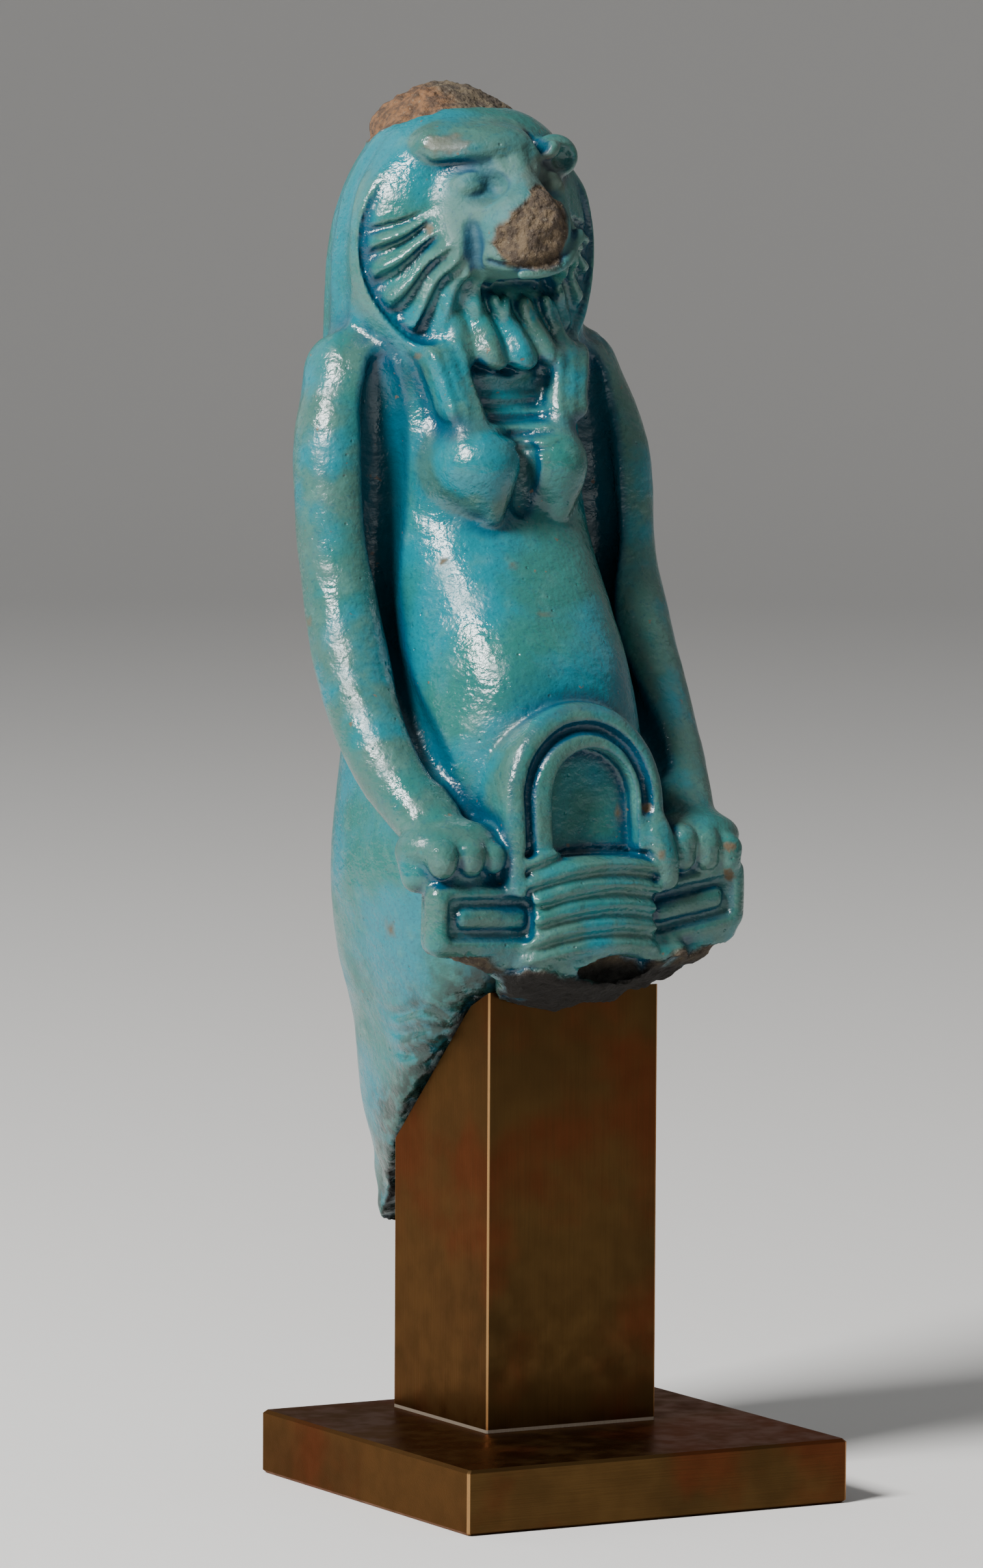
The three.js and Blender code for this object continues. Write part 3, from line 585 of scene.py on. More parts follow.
@dataclass(frozen=True)
class Torso:
    """Body, arms, shoulders and knees, with a thin web that closes each arm to the flank."""

    body: Loft = Loft(
        rows=(
            (22, 4.3, 10, 25), (26, 5.4, 8, 25.6), (34, 8, 3, 26.8), (42, 9.5, -2, 27.5),
            (50, 12.2, -3, 26.8), (58.5, 13.3, -3.9, 26), (69, 12, -5.2, 26.2), (76, 10.8, -4.6, 26.6),
            (83, 10.4, 0, 27), (92, 10.6, 5.8, 27.6), (100, 10.6, 7.6, 27.2), (108, 8.5, 9.5, 25.5),
        ),
        power=2.6, low=20, high=106, rounding=3,
    )
    arm: Limb = Limb((
        (12.6, 16.6, 103.6, 3.7), (14.8, 14.4, 96, 3.7), (15, 13, 86, 3.6),
        (15.4, 9.1, 76.3, 3.5), (15.1, 3.4, 68.2, 3.15), (13.6, -3, 61.8, 2.4),
    ))
    shoulder: Ball = Ball((9.8, 16.8, 103), (5, 5.5, 3.6))
    web: Limb = Limb((
        (9.6, 16.9, 105, 1.6), (11.6, 16.9, 100, 2.2), (12.2, 16, 91, 2.4), (12.6, 15.3, 82, 2.4),
        (12.6, 12.6, 76.5, 2.2), (12.9, 6.3, 70, 2), (12.8, 2, 66, 2), (12.4, -1.6, 63.2, 2.2),
    ))
    groove: Limb = Limb((
        (10.4, 12.6, 106, 0.4), (11, 12, 102, 1.8), (11.6, 11.9, 91, 2.3), (12.1, 11.9, 82, 2.1),
        (11.8, 9.3, 76.5, 1.6), (11.7, 2.4, 70, 1.3), (11.5, -0.5, 67.5, 0.9),
    ))
    knee: Ball = Ball((4.8, 7.5, 43), (4.4, 6, 5))
    # Reach of the painted shade with pooled glaze beside the groove.
    pool_and_shade_reach: tuple[float, float] = (0.3, 1.6)
    fold_pitch: float = 1.9
    fold_depth: float = 0.55

    def shape(self, clay: Clay) -> None:
        """Joins the body and the limbs and cuts the groove between them.

        Args:
            clay: the block that is worked on.
        """
        clay.join(self.body, 0.1)
        clay.join(self.arm, 0.7, sides=True)
        clay.join(self.shoulder, 2.2, sides=True)
        clay.join(self.web, 1.5, sides=True)
        clay.carve(self.groove, 0.8, sides=True)
        clay.join(self.knee, 1.5, sides=True)
        clay.raise_by((-12, -3, 37), (12, 15, 47), self.folds)

    def pool(self, points: Array) -> Array:
        """Glaze pooled in the groove with painted shade: 1 at its wall, 0 beyond the reach."""
        x, y, z = points.T
        return 1.0 - ease(*self.pool_and_shade_reach, self.groove.distance(np.abs(x), y, z))

    def folds(self, x: Array, y: Array, z: Array) -> Array:
        """Wrinkles across the knee: a wave in z that rises towards the back, faded at its ends.

        Args:
            x: places across the figure, from its mid-plane; not used.
            y: places from front to back.
            z: heights.

        Returns:
            Height of the relief at each place.
        """
        shown = between(-2, 14, 5, y) * ease(38, 39.5, z) * (1.0 - ease(44, 46.5, z))
        bent = z + 0.12 * (y - 6) + 0.25 * np.sin(0.8 * y)
        return self.fold_depth * shown * (wave(bent / self.fold_pitch) - 0.5)


@dataclass(frozen=True)
class Breasts:
    """The hanging breasts, the far one smaller, and a necklace's lines between the ends of the wig."""

    near: Ball = Ball((-4.2, 6.1, 95.2), (4, 4.2, 3.6))
    far: Ball = Ball((3.9, 6.7, 95.2), (3.4, 3.8, 3.5))
    near_tip: Limb = Limb(((-4, 5.2, 93.3, 2.5), (-3.4, 4.5, 91.5, 1.3), (-3.3, 4.5, 90.6, 0.9)))
    far_tip: Limb = Limb(((4.1, 6, 93.4, 2.2), (4.2, 5.3, 91.8, 1.2), (4.2, 5.2, 91, 0.85)))
    cleavage: Limb = Limb(((0.2, 5.3, 99.3, 0.6), (0.1, 4.7, 95.4, 1.2), (0.1, 5, 91.4, 0.9)))
    line_pitch: float = 1.35
    line_depth: float = 0.3
    line_sag: float = 0.02

    def shape(self, clay: Clay) -> None:
        """Joins the breasts and raises the necklace's lines.

        Args:
            clay: the block that is worked on.
        """
        for breast in (self.near, self.far):
            clay.join(breast, 3.2)
        for tip in (self.near_tip, self.far_tip):
            clay.join(tip, 1.1)
        clay.carve(self.cleavage, 0.7)
        clay.raise_by((-4, 4, 95), (4, 10, 103), self.necklace)

    def necklace(self, x: Array, y: Array, z: Array) -> Array:
        """Shallow waves in z that sag towards the middle."""
        shown = between(95.5, 103, 1, z) * (1.0 - ease(2.6, 3.5, np.abs(x)))
        return self.line_depth * shown * (wave((z - self.line_sag * x * x) / self.line_pitch) - 0.4)


@dataclass(frozen=True)
class Wig:
    """The striped wig down the back, the stump on the crown and the squared ends on the breast."""

    hair: Loft = Loft(
        rows=(
            (94, 9, 9, 27.6), (103, 11.9, 8.3, 28.5), (112, 12.3, 7.8, 28),
            (120, 11.4, 8.2, 26.2), (125.5, 8.8, 9.5, 23.4), (128, 6.6, 11, 21.8),
        ),
        power=2.2, low=95.5, high=128.2, rounding=3.4,
    )
    stump: Ball = Ball((-0.4, 20.2, 125.6), (6.9, 7, 5))
    lappet: Block = Block((5.7, 7.2, 102.9), (2.15, 1.8, 3.4), 1.3)
    lean_z: float = 101.0
    lean_out: float = 0.22
    lean_back: float = 0.34
    flute_pitch: float = 1.45
    flute_depth: float = 0.16
    strands: float = 11.5
    strand_depth: float = 0.34
    axis_y: float = 13.0

    def shape(self, clay: Clay) -> None:
        """Joins the wig and its stump and raises the strands.

        Args:
            clay: the block that is worked on.
        """
        clay.join(self.hair, 1.4)
        clay.join(self.stump, 1.2)
        clay.raise_by((-14, 12, 95), (14, 30, 127), self.stripes)

    def hang(self, clay: Clay) -> None:
        """Joins the squared ends, which lean out and back towards their tops.

        Args:
            clay: the block that is worked on.
        """
        def leaning(x: Array, y: Array, z: Array) -> Array:
            """The block, sheared so that it leans."""
            return self.lappet.distance(x - self.lean(z), y - self.lean_back * (z - self.lean_z), z)

        clay.join(Carving(leaning, (3, 4, 99), (10, 12.5, 107)), 1.3, sides=True)
        clay.raise_by((-10, 3, 98.5), (10, 9.5, 108), self.flutes)

    def lean(self, z: Array) -> Array:
        """How far out each squared end leans at a height."""
        return self.lean_out * np.maximum(z - self.lean_z, 0)

    def flutes(self, x: Array, y: Array, z: Array) -> Array:
        """Three soft upright flutes on each squared end: a wave in x that follows its lean.

        Args:
            x: places across the figure, from its mid-plane.
            y: places from front to back; not used.
            z: heights.

        Returns:
            Height of the relief at each place.
        """
        across = np.abs(x) - self.lappet.centre[0] - self.lean(z)
        shown = between(-2.4, 2.4, 0.4, across) * between(98.9, 107.5, 1.5, z)
        return self.flute_depth * shown * (wave(across / self.flute_pitch) - 0.6)

    def stripes(self, x: Array, y: Array, z: Array) -> Array:
        """Upright strands: a wave in the angle about the head's axis.

        Args:
            x: places across the figure, from its mid-plane.
            y: places from front to back.
            z: heights.

        Returns:
            Height of the relief at each place.
        """
        shown = ease(12.5, 15, y) * between(95.5, 127, 4, z)
        turn = np.arctan2(np.abs(x), y - self.axis_y) / np.pi
        return self.strand_depth * shown * (wave(self.strands * turn) - 0.6)


@dataclass(frozen=True)
class Mane:
    """The lion's mane: locks that fan out from beside the eye to a rounded rim."""

    cushion: Ball = Ball((-0.7, 13.8, 115.4), (11.9, 5.4, 11.6))
    fan_z: float = 120.7
    fan_side: float = 2.4
    first_lock: float = -30.0
    lock_pitch: float = 11.6
    depth: float = 1.15
    face_z: float = 118.6
    face_reach: tuple[float, float] = (6.6, 6.0)
    far_start: float = 0.2
    rim_height: float = 0.5
    groove_depth: float = 0.25

    def shape(self, clay: Clay) -> None:
        """Joins the cushion that carries the locks."""
        clay.join(self.cushion, 1.6)

    def comb(self, clay: Clay) -> None:
        """Raises the locks and the rim."""
        clay.raise_by((-14.5, 4, 100), (14.5, 17, 128), self.locks)

    def locks(self, x: Array, y: Array, z: Array) -> Array:
        """Waves in the angle about the fan's point, with a groove and a rim round their ends.

        They deepen outwards, and on the far side they start farther from the face.

        Args:
            x, y, z: places, as arrays of the same length.

        Returns:
            Height of the relief at each place.
        """
        side = np.abs(x - self.cushion.centre[0])
        angle = np.degrees(np.arctan2(z - self.fan_z, side - self.fan_side))
        width, height = self.cushion.radii[0] + 0.3, self.cushion.radii[2] + 0.2
        out = np.hypot(side / width, (z - self.cushion.centre[2]) / height)
        face = np.hypot(side / self.face_reach[0], (z - self.face_z) / self.face_reach[1])
        front = (1.0 - ease(14.4, 16, y)) * ease(101, 103.5, z)
        far = self.far_start * ease(0, 3, x)
        shown = ease(1, 1.2, face - far) * (1.0 - ease(0.9, 0.96, out)) * (1.0 - ease(-24, -20, angle))
        swing = (angle - self.first_lock + 1.2 * np.sin(0.9 * side)) / self.lock_pitch
        lock = self.depth * (0.65 + 0.35 * ease(0.6, 0.88, out)) * (wave(swing) ** 1.3 - 0.52)
        groove = bump((out - 0.965) / 0.05) * (1.0 - ease(117, 121, z)) * (1.0 - ease(12.8, 14.2, y))
        rim = bump((out - 1.03) / 0.09) * (1.0 - ease(120, 124, z))
        return front * (shown * lock + self.rim_height * rim - self.groove_depth * groove)


@dataclass(frozen=True)
class Face:
    """The lion's face: muzzle, cheeks, nose bridge, brows, eyes, mouth and ears."""

    mask: Ball = Ball((0, 10.8, 118.6), (7.4, 6, 6.2))
    muzzle: Ball = Ball((0, 5.6, 116.8), (4.6, 5.2, 4.5))
    jaw: Ball = Ball((-0.3, 5.9, 114.5), (4.8, 5.5, 2.15))
    cheek: Ball = Ball((4.5, 9, 115.4), (3.2, 3.8, 3.4))
    bridge: Limb = Limb(((1.5, 8, 124.2, 1.2), (1.5, 6.4, 121.8, 1.2), (1.9, 4.6, 119, 1.6)))
    bridge_top: Limb = Limb(((0, 7.7, 124.2, 1.5), (0, 6.1, 121.8, 1.5), (0, 4.6, 119, 1.9)))
    fold: Limb = Limb(((5.2, 5.5, 117.3, 0.4), (5.1, 5.1, 115.1, 0.65), (4.8, 5.5, 112.8, 0.55)))
    forehead: Ball = Ball((-0.9, 10.4, 124.6), (4.6, 4.6, 2.2))
    forehead_notch: Ball = Ball((3.1, 7.8, 125.1), (0.9, 2.4, 1.3))
    brow: Limb = Limb(((2, 7.2, 124.1, 0.8), (4.4, 7.6, 124.3, 0.9), (6.8, 9.4, 123.9, 0.5)))
    brow_line: Limb = Limb(((2.7, 6.4, 123.2, 0.2), (4.6, 6.9, 123.3, 0.3), (7.2, 8.8, 122.9, 0.25)))
    socket: Ball = Ball((4.2, 5.4, 121.1), (2.6, 1.9, 1.6))
    eye: Ball = Ball((4.1, 8, 120.7), (1.8, 1.6, 1.1))
    upper_lid: Limb = Limb((
        (6, 9.1, 120.1, 0.3), (5.2, 7.9, 121.4, 0.4), (4.1, 7.3, 121.9, 0.4), (2.9, 7.1, 121.5, 0.3),
    ))
    lower_lid: Limb = Limb((
        (6, 9, 119.9, 0.35), (4.9, 7.6, 119.4, 0.55), (3.6, 6.9, 119.4, 0.55), (2.7, 6.7, 120.1, 0.35),
    ))
    mouth: Limb = Limb((
        (-4.3, 3.6, 114.1, 0.25), (-2.3, 1.3, 113.6, 0.3), (0, 0.6, 113.9, 0.35), (2.3, 1.1, 114.7, 0.3),
    ))
    lip: Limb = Limb((
        (-2.2, 1.3, 112.9, 0.4), (0, 0.9, 113.2, 0.6), (2.4, 1.3, 114.1, 0.65), (4.4, 2.9, 115.8, 0.5),
    ))
    lip_end: Ball = Ball((4.8, 3.2, 116.3), (0.7, 0.7, 0.8))
    throat: Ball = Ball((2.2, 4.6, 111.4), (5.6, 6.6, 1.3))
    far_ear: Ball = Ball((5.7, 9.3, 123.6), (2.4, 1.6, 2.1))
    far_cup: Ball = Ball((6, 7.5, 123.4), (1.4, 1.4, 1.2))
    near_ear: Ball = Ball((-5.4, 10.7, 124.9), (2.6, 1.6, 1.4))
    rubbed_centre: Triple = (0.0, 5.0, 118.5)
    rubbed_radii: Triple = (8.2, 7.5, 7.5)

    def rubbed(self, points: Array) -> Array:
        """Where the glaze is rubbed dull: 1 on the cheeks, the brow and the muzzle, 0 on the mane."""
        scaled = (points - self.rubbed_centre) / self.rubbed_radii
        return 1.0 - ease(0.8, 1.15, np.linalg.norm(scaled, axis=1))

    def shape(self, clay: Clay) -> None:
        """Joins the face's forms and carves the eyes, the mouth and the throat.

        Args:
            clay: the block that is worked on.
        """
        clay.join(self.mask, 0.8)
        clay.join(self.muzzle, 1.6)
        clay.join(self.jaw, 1.0)
        clay.join(self.cheek, 1.3, sides=True)
        clay.carve(self.fold, 0.8, sides=True)
        clay.join(self.forehead, 1.2)
        clay.join(self.bridge, 0.5, sides=True)
        clay.join(self.bridge_top, 0.5)
        clay.carve(self.socket, 0.9, sides=True)
        clay.join(self.brow, 0.7, sides=True)
        clay.carve(self.brow_line, 0.3, sides=True)
        clay.join(self.eye, 0.4, sides=True)
        clay.join(self.upper_lid, 0.2, sides=True)
        clay.join(self.lower_lid, 0.35, sides=True)
        clay.carve(self.mouth, 0.4)
        clay.join(self.lip, 0.4)
        clay.join(self.lip_end, 0.3)
        clay.carve(self.throat, 0.5)
        clay.join(self.far_ear, 0.5)
        clay.carve(self.far_cup, 0.4)
        clay.join(self.near_ear, 1.8)
        clay.carve(self.forehead_notch, 0.6)


@dataclass(frozen=True)
class Beard:
    """The strands that fall from the chin, proud of the breast."""

    fall: Loft = Loft(
        rows=(
            (102, 5.4, 6.3, 15), (103.6, 6.2, 5.8, 15), (105.5, 6.8, 6.1, 15),
            (109.5, 7.2, 8.2, 15), (112, 6.8, 9.2, 15),
        ),
        power=2.4, low=102.9, high=114, rounding=0.9,
    )
    pitch: float = 3.0
    first_crest: float = 0.6
    depth: float = 1.1
    middle_z: float = 107.0
    spread: float = 0.03
    drift: float = 0.28
    edge_z: float = 104.1
    edge_rise: float = 0.03

    def shape(self, clay: Clay) -> None:
        """Joins the beard with its scalloped lower edge and parts it into strands.

        Args:
            clay: the block that is worked on.
        """
        def hanging(x: Array, y: Array, z: Array) -> Array:
            """The fall, cut off at its lower edge."""
            return -blend(-self.fall.distance(x, y, z), self.ends(x, y, z), 0.9)

        clay.join(Carving(hanging, *self.fall.room()), 0.5)
        clay.raise_by((-8.5, 2, 103.6), (8.5, 13, 113), self.strands)

    def sway(self, x: Array, z: Array) -> Array:
        """Strands counted across the beard, which spread and drift to the far side downwards.

        Args:
            x: places across the figure, from its mid-plane.
            z: heights.

        Returns:
            Strands from the first crest, as a number whose whole values are crests.
        """
        rise = z - self.middle_z
        drifted = x * (1.0 + self.spread * rise) + self.drift * rise + 0.2 * np.sin(1.1 * z + 0.4 * x)
        return (drifted - self.first_crest) / self.pitch

    def strands(self, x: Array, y: Array, z: Array) -> Array:
        """Waves across the swaying strands, with broad crests and narrow gaps, softer on the near side.

        Args:
            x: places across the figure, from its mid-plane.
            y: places from front to back.
            z: heights.

        Returns:
            Height of the relief at each place.
        """
        shown = (1.0 - ease(109.2, 111, z)) * (1.0 - ease(6.9, 8.1, np.abs(x))) * (1.0 - ease(8.8, 10.5, y))
        shown = shown * (0.55 + 0.45 * ease(-4.5, -2.5, x))
        shown = shown * (0.4 + 0.6 * ease(104.2, 105.8, z))
        return shown * self.depth * (wave(self.sway(x, z)) ** 0.6 - 0.75)

    def ends(self, x: Array, y: Array, z: Array) -> Array:
        """Height above the lower edge, which rises to the sides and a little between the strands."""
        return z - self.edge_z - self.edge_rise * x * x + 0.15 * wave(self.sway(x, z))


@dataclass(frozen=True)
class Sign:
    """The sign of protection: a double arch over a bound tie, with a framed tab on each side."""

    spring_z: float = 64.8
    top_z: float = 73.3
    back_y: float = 2.0
    foot_z: float = 56.0
    radius: float = 8.4
    arch_x: float = -0.2
    groove_radius: float = 6.25
    groove_x: float = -0.05
    groove_half: float = 0.5
    opening_radius: float = 4.4
    opening_x: float = 0.5
    opening_depth: float = 2.1
    face_y: float = -7.4
    face_slope: float = 0.1
    tie: Block = Block((0, -6.3, 54.9), (7.2, 3.3, 5.2), 1.3)
    tie_curve: float = 0.014
    foot_curve: float = 0.02
    strand_pitch: float = 1.85
    strand_depth: float = 0.65
    strand_sag: float = 0.022
    squash: float = 0.92
    tab: Block = Block((11, -6.7, 54.1), (6, 1.45, 3.4), 1.4)
    panel: Block = Block((11.1, -8.3, 54.3), (4.4, 0.95, 2.1), 0.9)
    ridge: Block = Block((10.7, -7.3, 54.3), (3.7, 0.85, 1), 0.8)
    backing: Block = Block((9, -3.6, 54.6), (5.6, 2.4, 4), 1.6)
    near_root: Limb = Limb(((-12.5, -6.3, 51.6, 1.2), (-9.3, -6, 51, 1.8), (-5, -5.6, 49.4, 2.6)), 3)
    far_root: Limb = Limb((
        (15.5, -6.2, 52, 1), (13.2, -6.1, 51.2, 1.5), (10.5, -5.8, 49.6, 2.2), (7, -5.4, 48.4, 3),
    ), 3)
    foot: Block = Block((1.6, -4.7, 48.2), (9, 3.6, 3.6), 2)
    foot_chip: Ball = Ball((2.4, -8.3, 49.3), (3.7, 2, 1.4))
    far_tilt: float = 0.17
    near_tilt: float = 0.04
    near_short: float = 0.7

    def face(self, z: Array) -> Array:
        """Y of the arch's face, which comes forward downwards."""
        return self.face_y - self.face_slope * (self.top_z - z)

    def around(self, x: Array, z: Array) -> Array:
        """Distance from the arch's middle line: sideways below the spring, and round it above."""
        return np.hypot(x, self.squash * np.maximum(z - self.spring_z, 0.0))

    def arch(self, x: Array, y: Array, z: Array) -> Array:
        """The arch as a block with a rounded front edge."""
        front = -blend(self.radius - self.around(x - self.arch_x, z), y - self.face(z), 1.5)
        return np.maximum(np.maximum(front, y - self.back_y), self.foot_z - z)

    def arch_groove(self, x: Array, y: Array, z: Array) -> Array:
        """The round groove between the two bands."""
        away = self.around(x - self.groove_x, z) - self.groove_radius
        return np.hypot(away, 0.5 * (y - self.face(z))) - self.groove_half

    def opening(self, x: Array, y: Array, z: Array) -> Array:
        """The hollow inside the inner band, with a floor that sinks in its middle.

        Args:
            x: places across the figure, from its mid-plane.
            y: places from front to back.
            z: heights.

        Returns:
            Distance at each place, negative inside.
        """
        across = x - self.opening_x
        floor = self.face(z) + self.opening_depth + 0.5 * bump(across / self.opening_radius)
        return np.maximum(self.around(across, z) - self.opening_radius, y - floor)

    def tilted(self, form: Block) -> Carving:
        """A tab's form on both sides, lifted towards its outer end.

        Args:
            form: the far tab's block, level.

        Returns:
            The form on both sides.
        """
        low, high = form.room()
        reach = float(high[0])

        def formula(x: Array, y: Array, z: Array) -> Array:
            """The block's distance, with z lowered by the tilt.

            Args:
                x: places across the figure, from its mid-plane.
                y: places from front to back.
                z: heights.

            Returns:
                Distance at each place, negative inside.
            """
            tilt = np.where(x > 0, self.far_tilt, self.near_tilt)
            out = np.abs(x) + np.where(x > 0, 0, self.near_short)
            return form.distance(out, y, z - tilt * (out - self.tie.half[0]))

        rise = self.far_tilt * (reach - self.tie.half[0])
        return Carving(formula, (-reach, low[1], low[2]), (reach, high[1], high[2] + rise))

    def bound(self, x: Array, y: Array, z: Array) -> Array:
        """The tie, whose front curves back towards its sides."""
        return self.tie.distance(x, y - self.tie_curve * x * x, z)

    def lower(self, x: Array, y: Array, z: Array) -> Array:
        """The foot, whose front curves forward towards its sides."""
        return self.foot.distance(x, y + self.foot_curve * (x - 1.0) ** 2, z)

    def strands(self, x: Array, y: Array, z: Array) -> Array:
        """Cords of the tie: waves in z that sag towards the sides.

        Args:
            x: places across the figure, from its mid-plane.
            y: places from front to back.
            z: heights.

        Returns:
            Height of the relief at each place.
        """
        shown = (1.0 - ease(6.6, 7.4, np.abs(x))) * between(49.6, 60.9, 0.8, z) * (1.0 - ease(-6.5, -5, y))
        sagged = z + self.strand_sag * (x - 1.5) ** 2 - 61
        return self.strand_depth * shown * (wave(sagged / self.strand_pitch) - 0.55)

    def shape(self, clay: Clay) -> None:
        """Joins the arch, the tie, the tabs and the foot.

        Args:
            clay: the block that is worked on.
        """
        low, high = (-self.radius, -11, self.foot_z), (self.radius, self.back_y, 75)
        clay.join(Carving(self.arch, low, high), 0.4)
        clay.carve(Carving(self.arch_groove, low, high), 0.5)
        clay.carve(Carving(self.opening, low, high), 0.6)
        clay.join(Carving(self.bound, *self.tie.room()), 0.4)
        clay.raise_by((-9, -12, 48), (9, -3, 62), self.strands)
        clay.join(self.tilted(self.tab), 0.4)
        clay.carve(self.tilted(self.panel), 0.4)
        clay.join(self.tilted(self.ridge), 0.4)
        clay.join(self.backing, 1.2, sides=True)
        clay.join(self.near_root, 1.0)
        clay.join(self.far_root, 1.0)
        clay.join(Carving(self.lower, *self.foot.room()), 0.8)
        clay.carve(self.foot_chip, 0.4)


@dataclass(frozen=True)
class Hands:
    """The hands that rest on the tabs, with broad knuckles near and narrow ones far."""

    palm: Ball = Ball((12.5, -4.7, 60.9), (5.1, 3.3, 2.5))
    thumb: Limb = Limb(((15.8, -3.6, 60.4, 1.8), (16.2, -4.6, 58.2, 1.4)))
    fingers: tuple[tuple[float, float, float, float], ...] = (
        (-15.1, 60.7, 1.35, 1.2), (-12.2, 60.8, 1.35, 1.2), (-9.8, 60.5, 1.1, 1),
        (10.1, 61.2, 1.3, 2), (12.6, 60.9, 1.35, 1.8), (15, 60.3, 1.3, 1.6),
    )
    grip: Limb = Limb((
        (6.5, -6.5, 63, 1.2), (7, -7.7, 61.8, 1.5), (7.7, -8.2, 59.3, 1.4), (8.2, -8.3, 57.4, 1),
    ))
    heel: Ball = Ball((12.4, -4.6, 58.4), (4.6, 2.7, 2))
    back_y: float = -5.4
    front_y: float = -7.4
    tip_y: float = -7.6

    def shape(self, clay: Clay) -> None:
        """Joins the palms, the thumbs and the fingers, each of which bends over the tab's edge.

        Args:
            clay: the block that is worked on.
        """
        clay.join(self.palm, 1.2, sides=True)
        clay.join(self.thumb, 0.8, sides=True)
        clay.join(self.heel, 1.0, sides=True)
        clay.join(self.grip, 0.6)
        for x, z, r, fall in self.fingers:
            front = (x, self.front_y, z - 0.4, r + 0.05)
            clay.join(Limb(((x, self.back_y, z, r), front)), 0.5)
            clay.join(Limb((front, (x, self.tip_y, z - fall, r - 0.15))), 0.5)


@dataclass(frozen=True)
class Tail:
    """The crocodile's tail down the back, as a ribbed strip between two grooves."""

    pitch: float = 3.4
    top_z: float = 95.0
    narrow: float = 2.6
    widening: float = 1.5
    groove_depth: float = 0.5

    def shape(self, clay: Clay) -> None:
        """Raises the strip."""
        clay.raise_by((-8, 20, 18), (8, 31, self.top_z), self.strip)

    def strip(self, x: Array, y: Array, z: Array) -> Array:
        """A flat strip with a wave in z on it, which widens downwards.

        Args:
            x: places across the figure, from its mid-plane.
            y: places from front to back.
            z: heights.

        Returns:
            Height of the relief at each place.
        """
        past = np.abs(x) - self.narrow - self.widening * (1.0 - ease(40, 92, z))
        strip = (1.0 - ease(0.0, 0.9, past + 0.4)) * (0.75 + 0.22 * wave(z / self.pitch))
        shown = ease(20, 23, y) * (1.0 - ease(90, self.top_z, z))
        return shown * (strip - self.groove_depth * bump((past - 0.8) / 0.9))


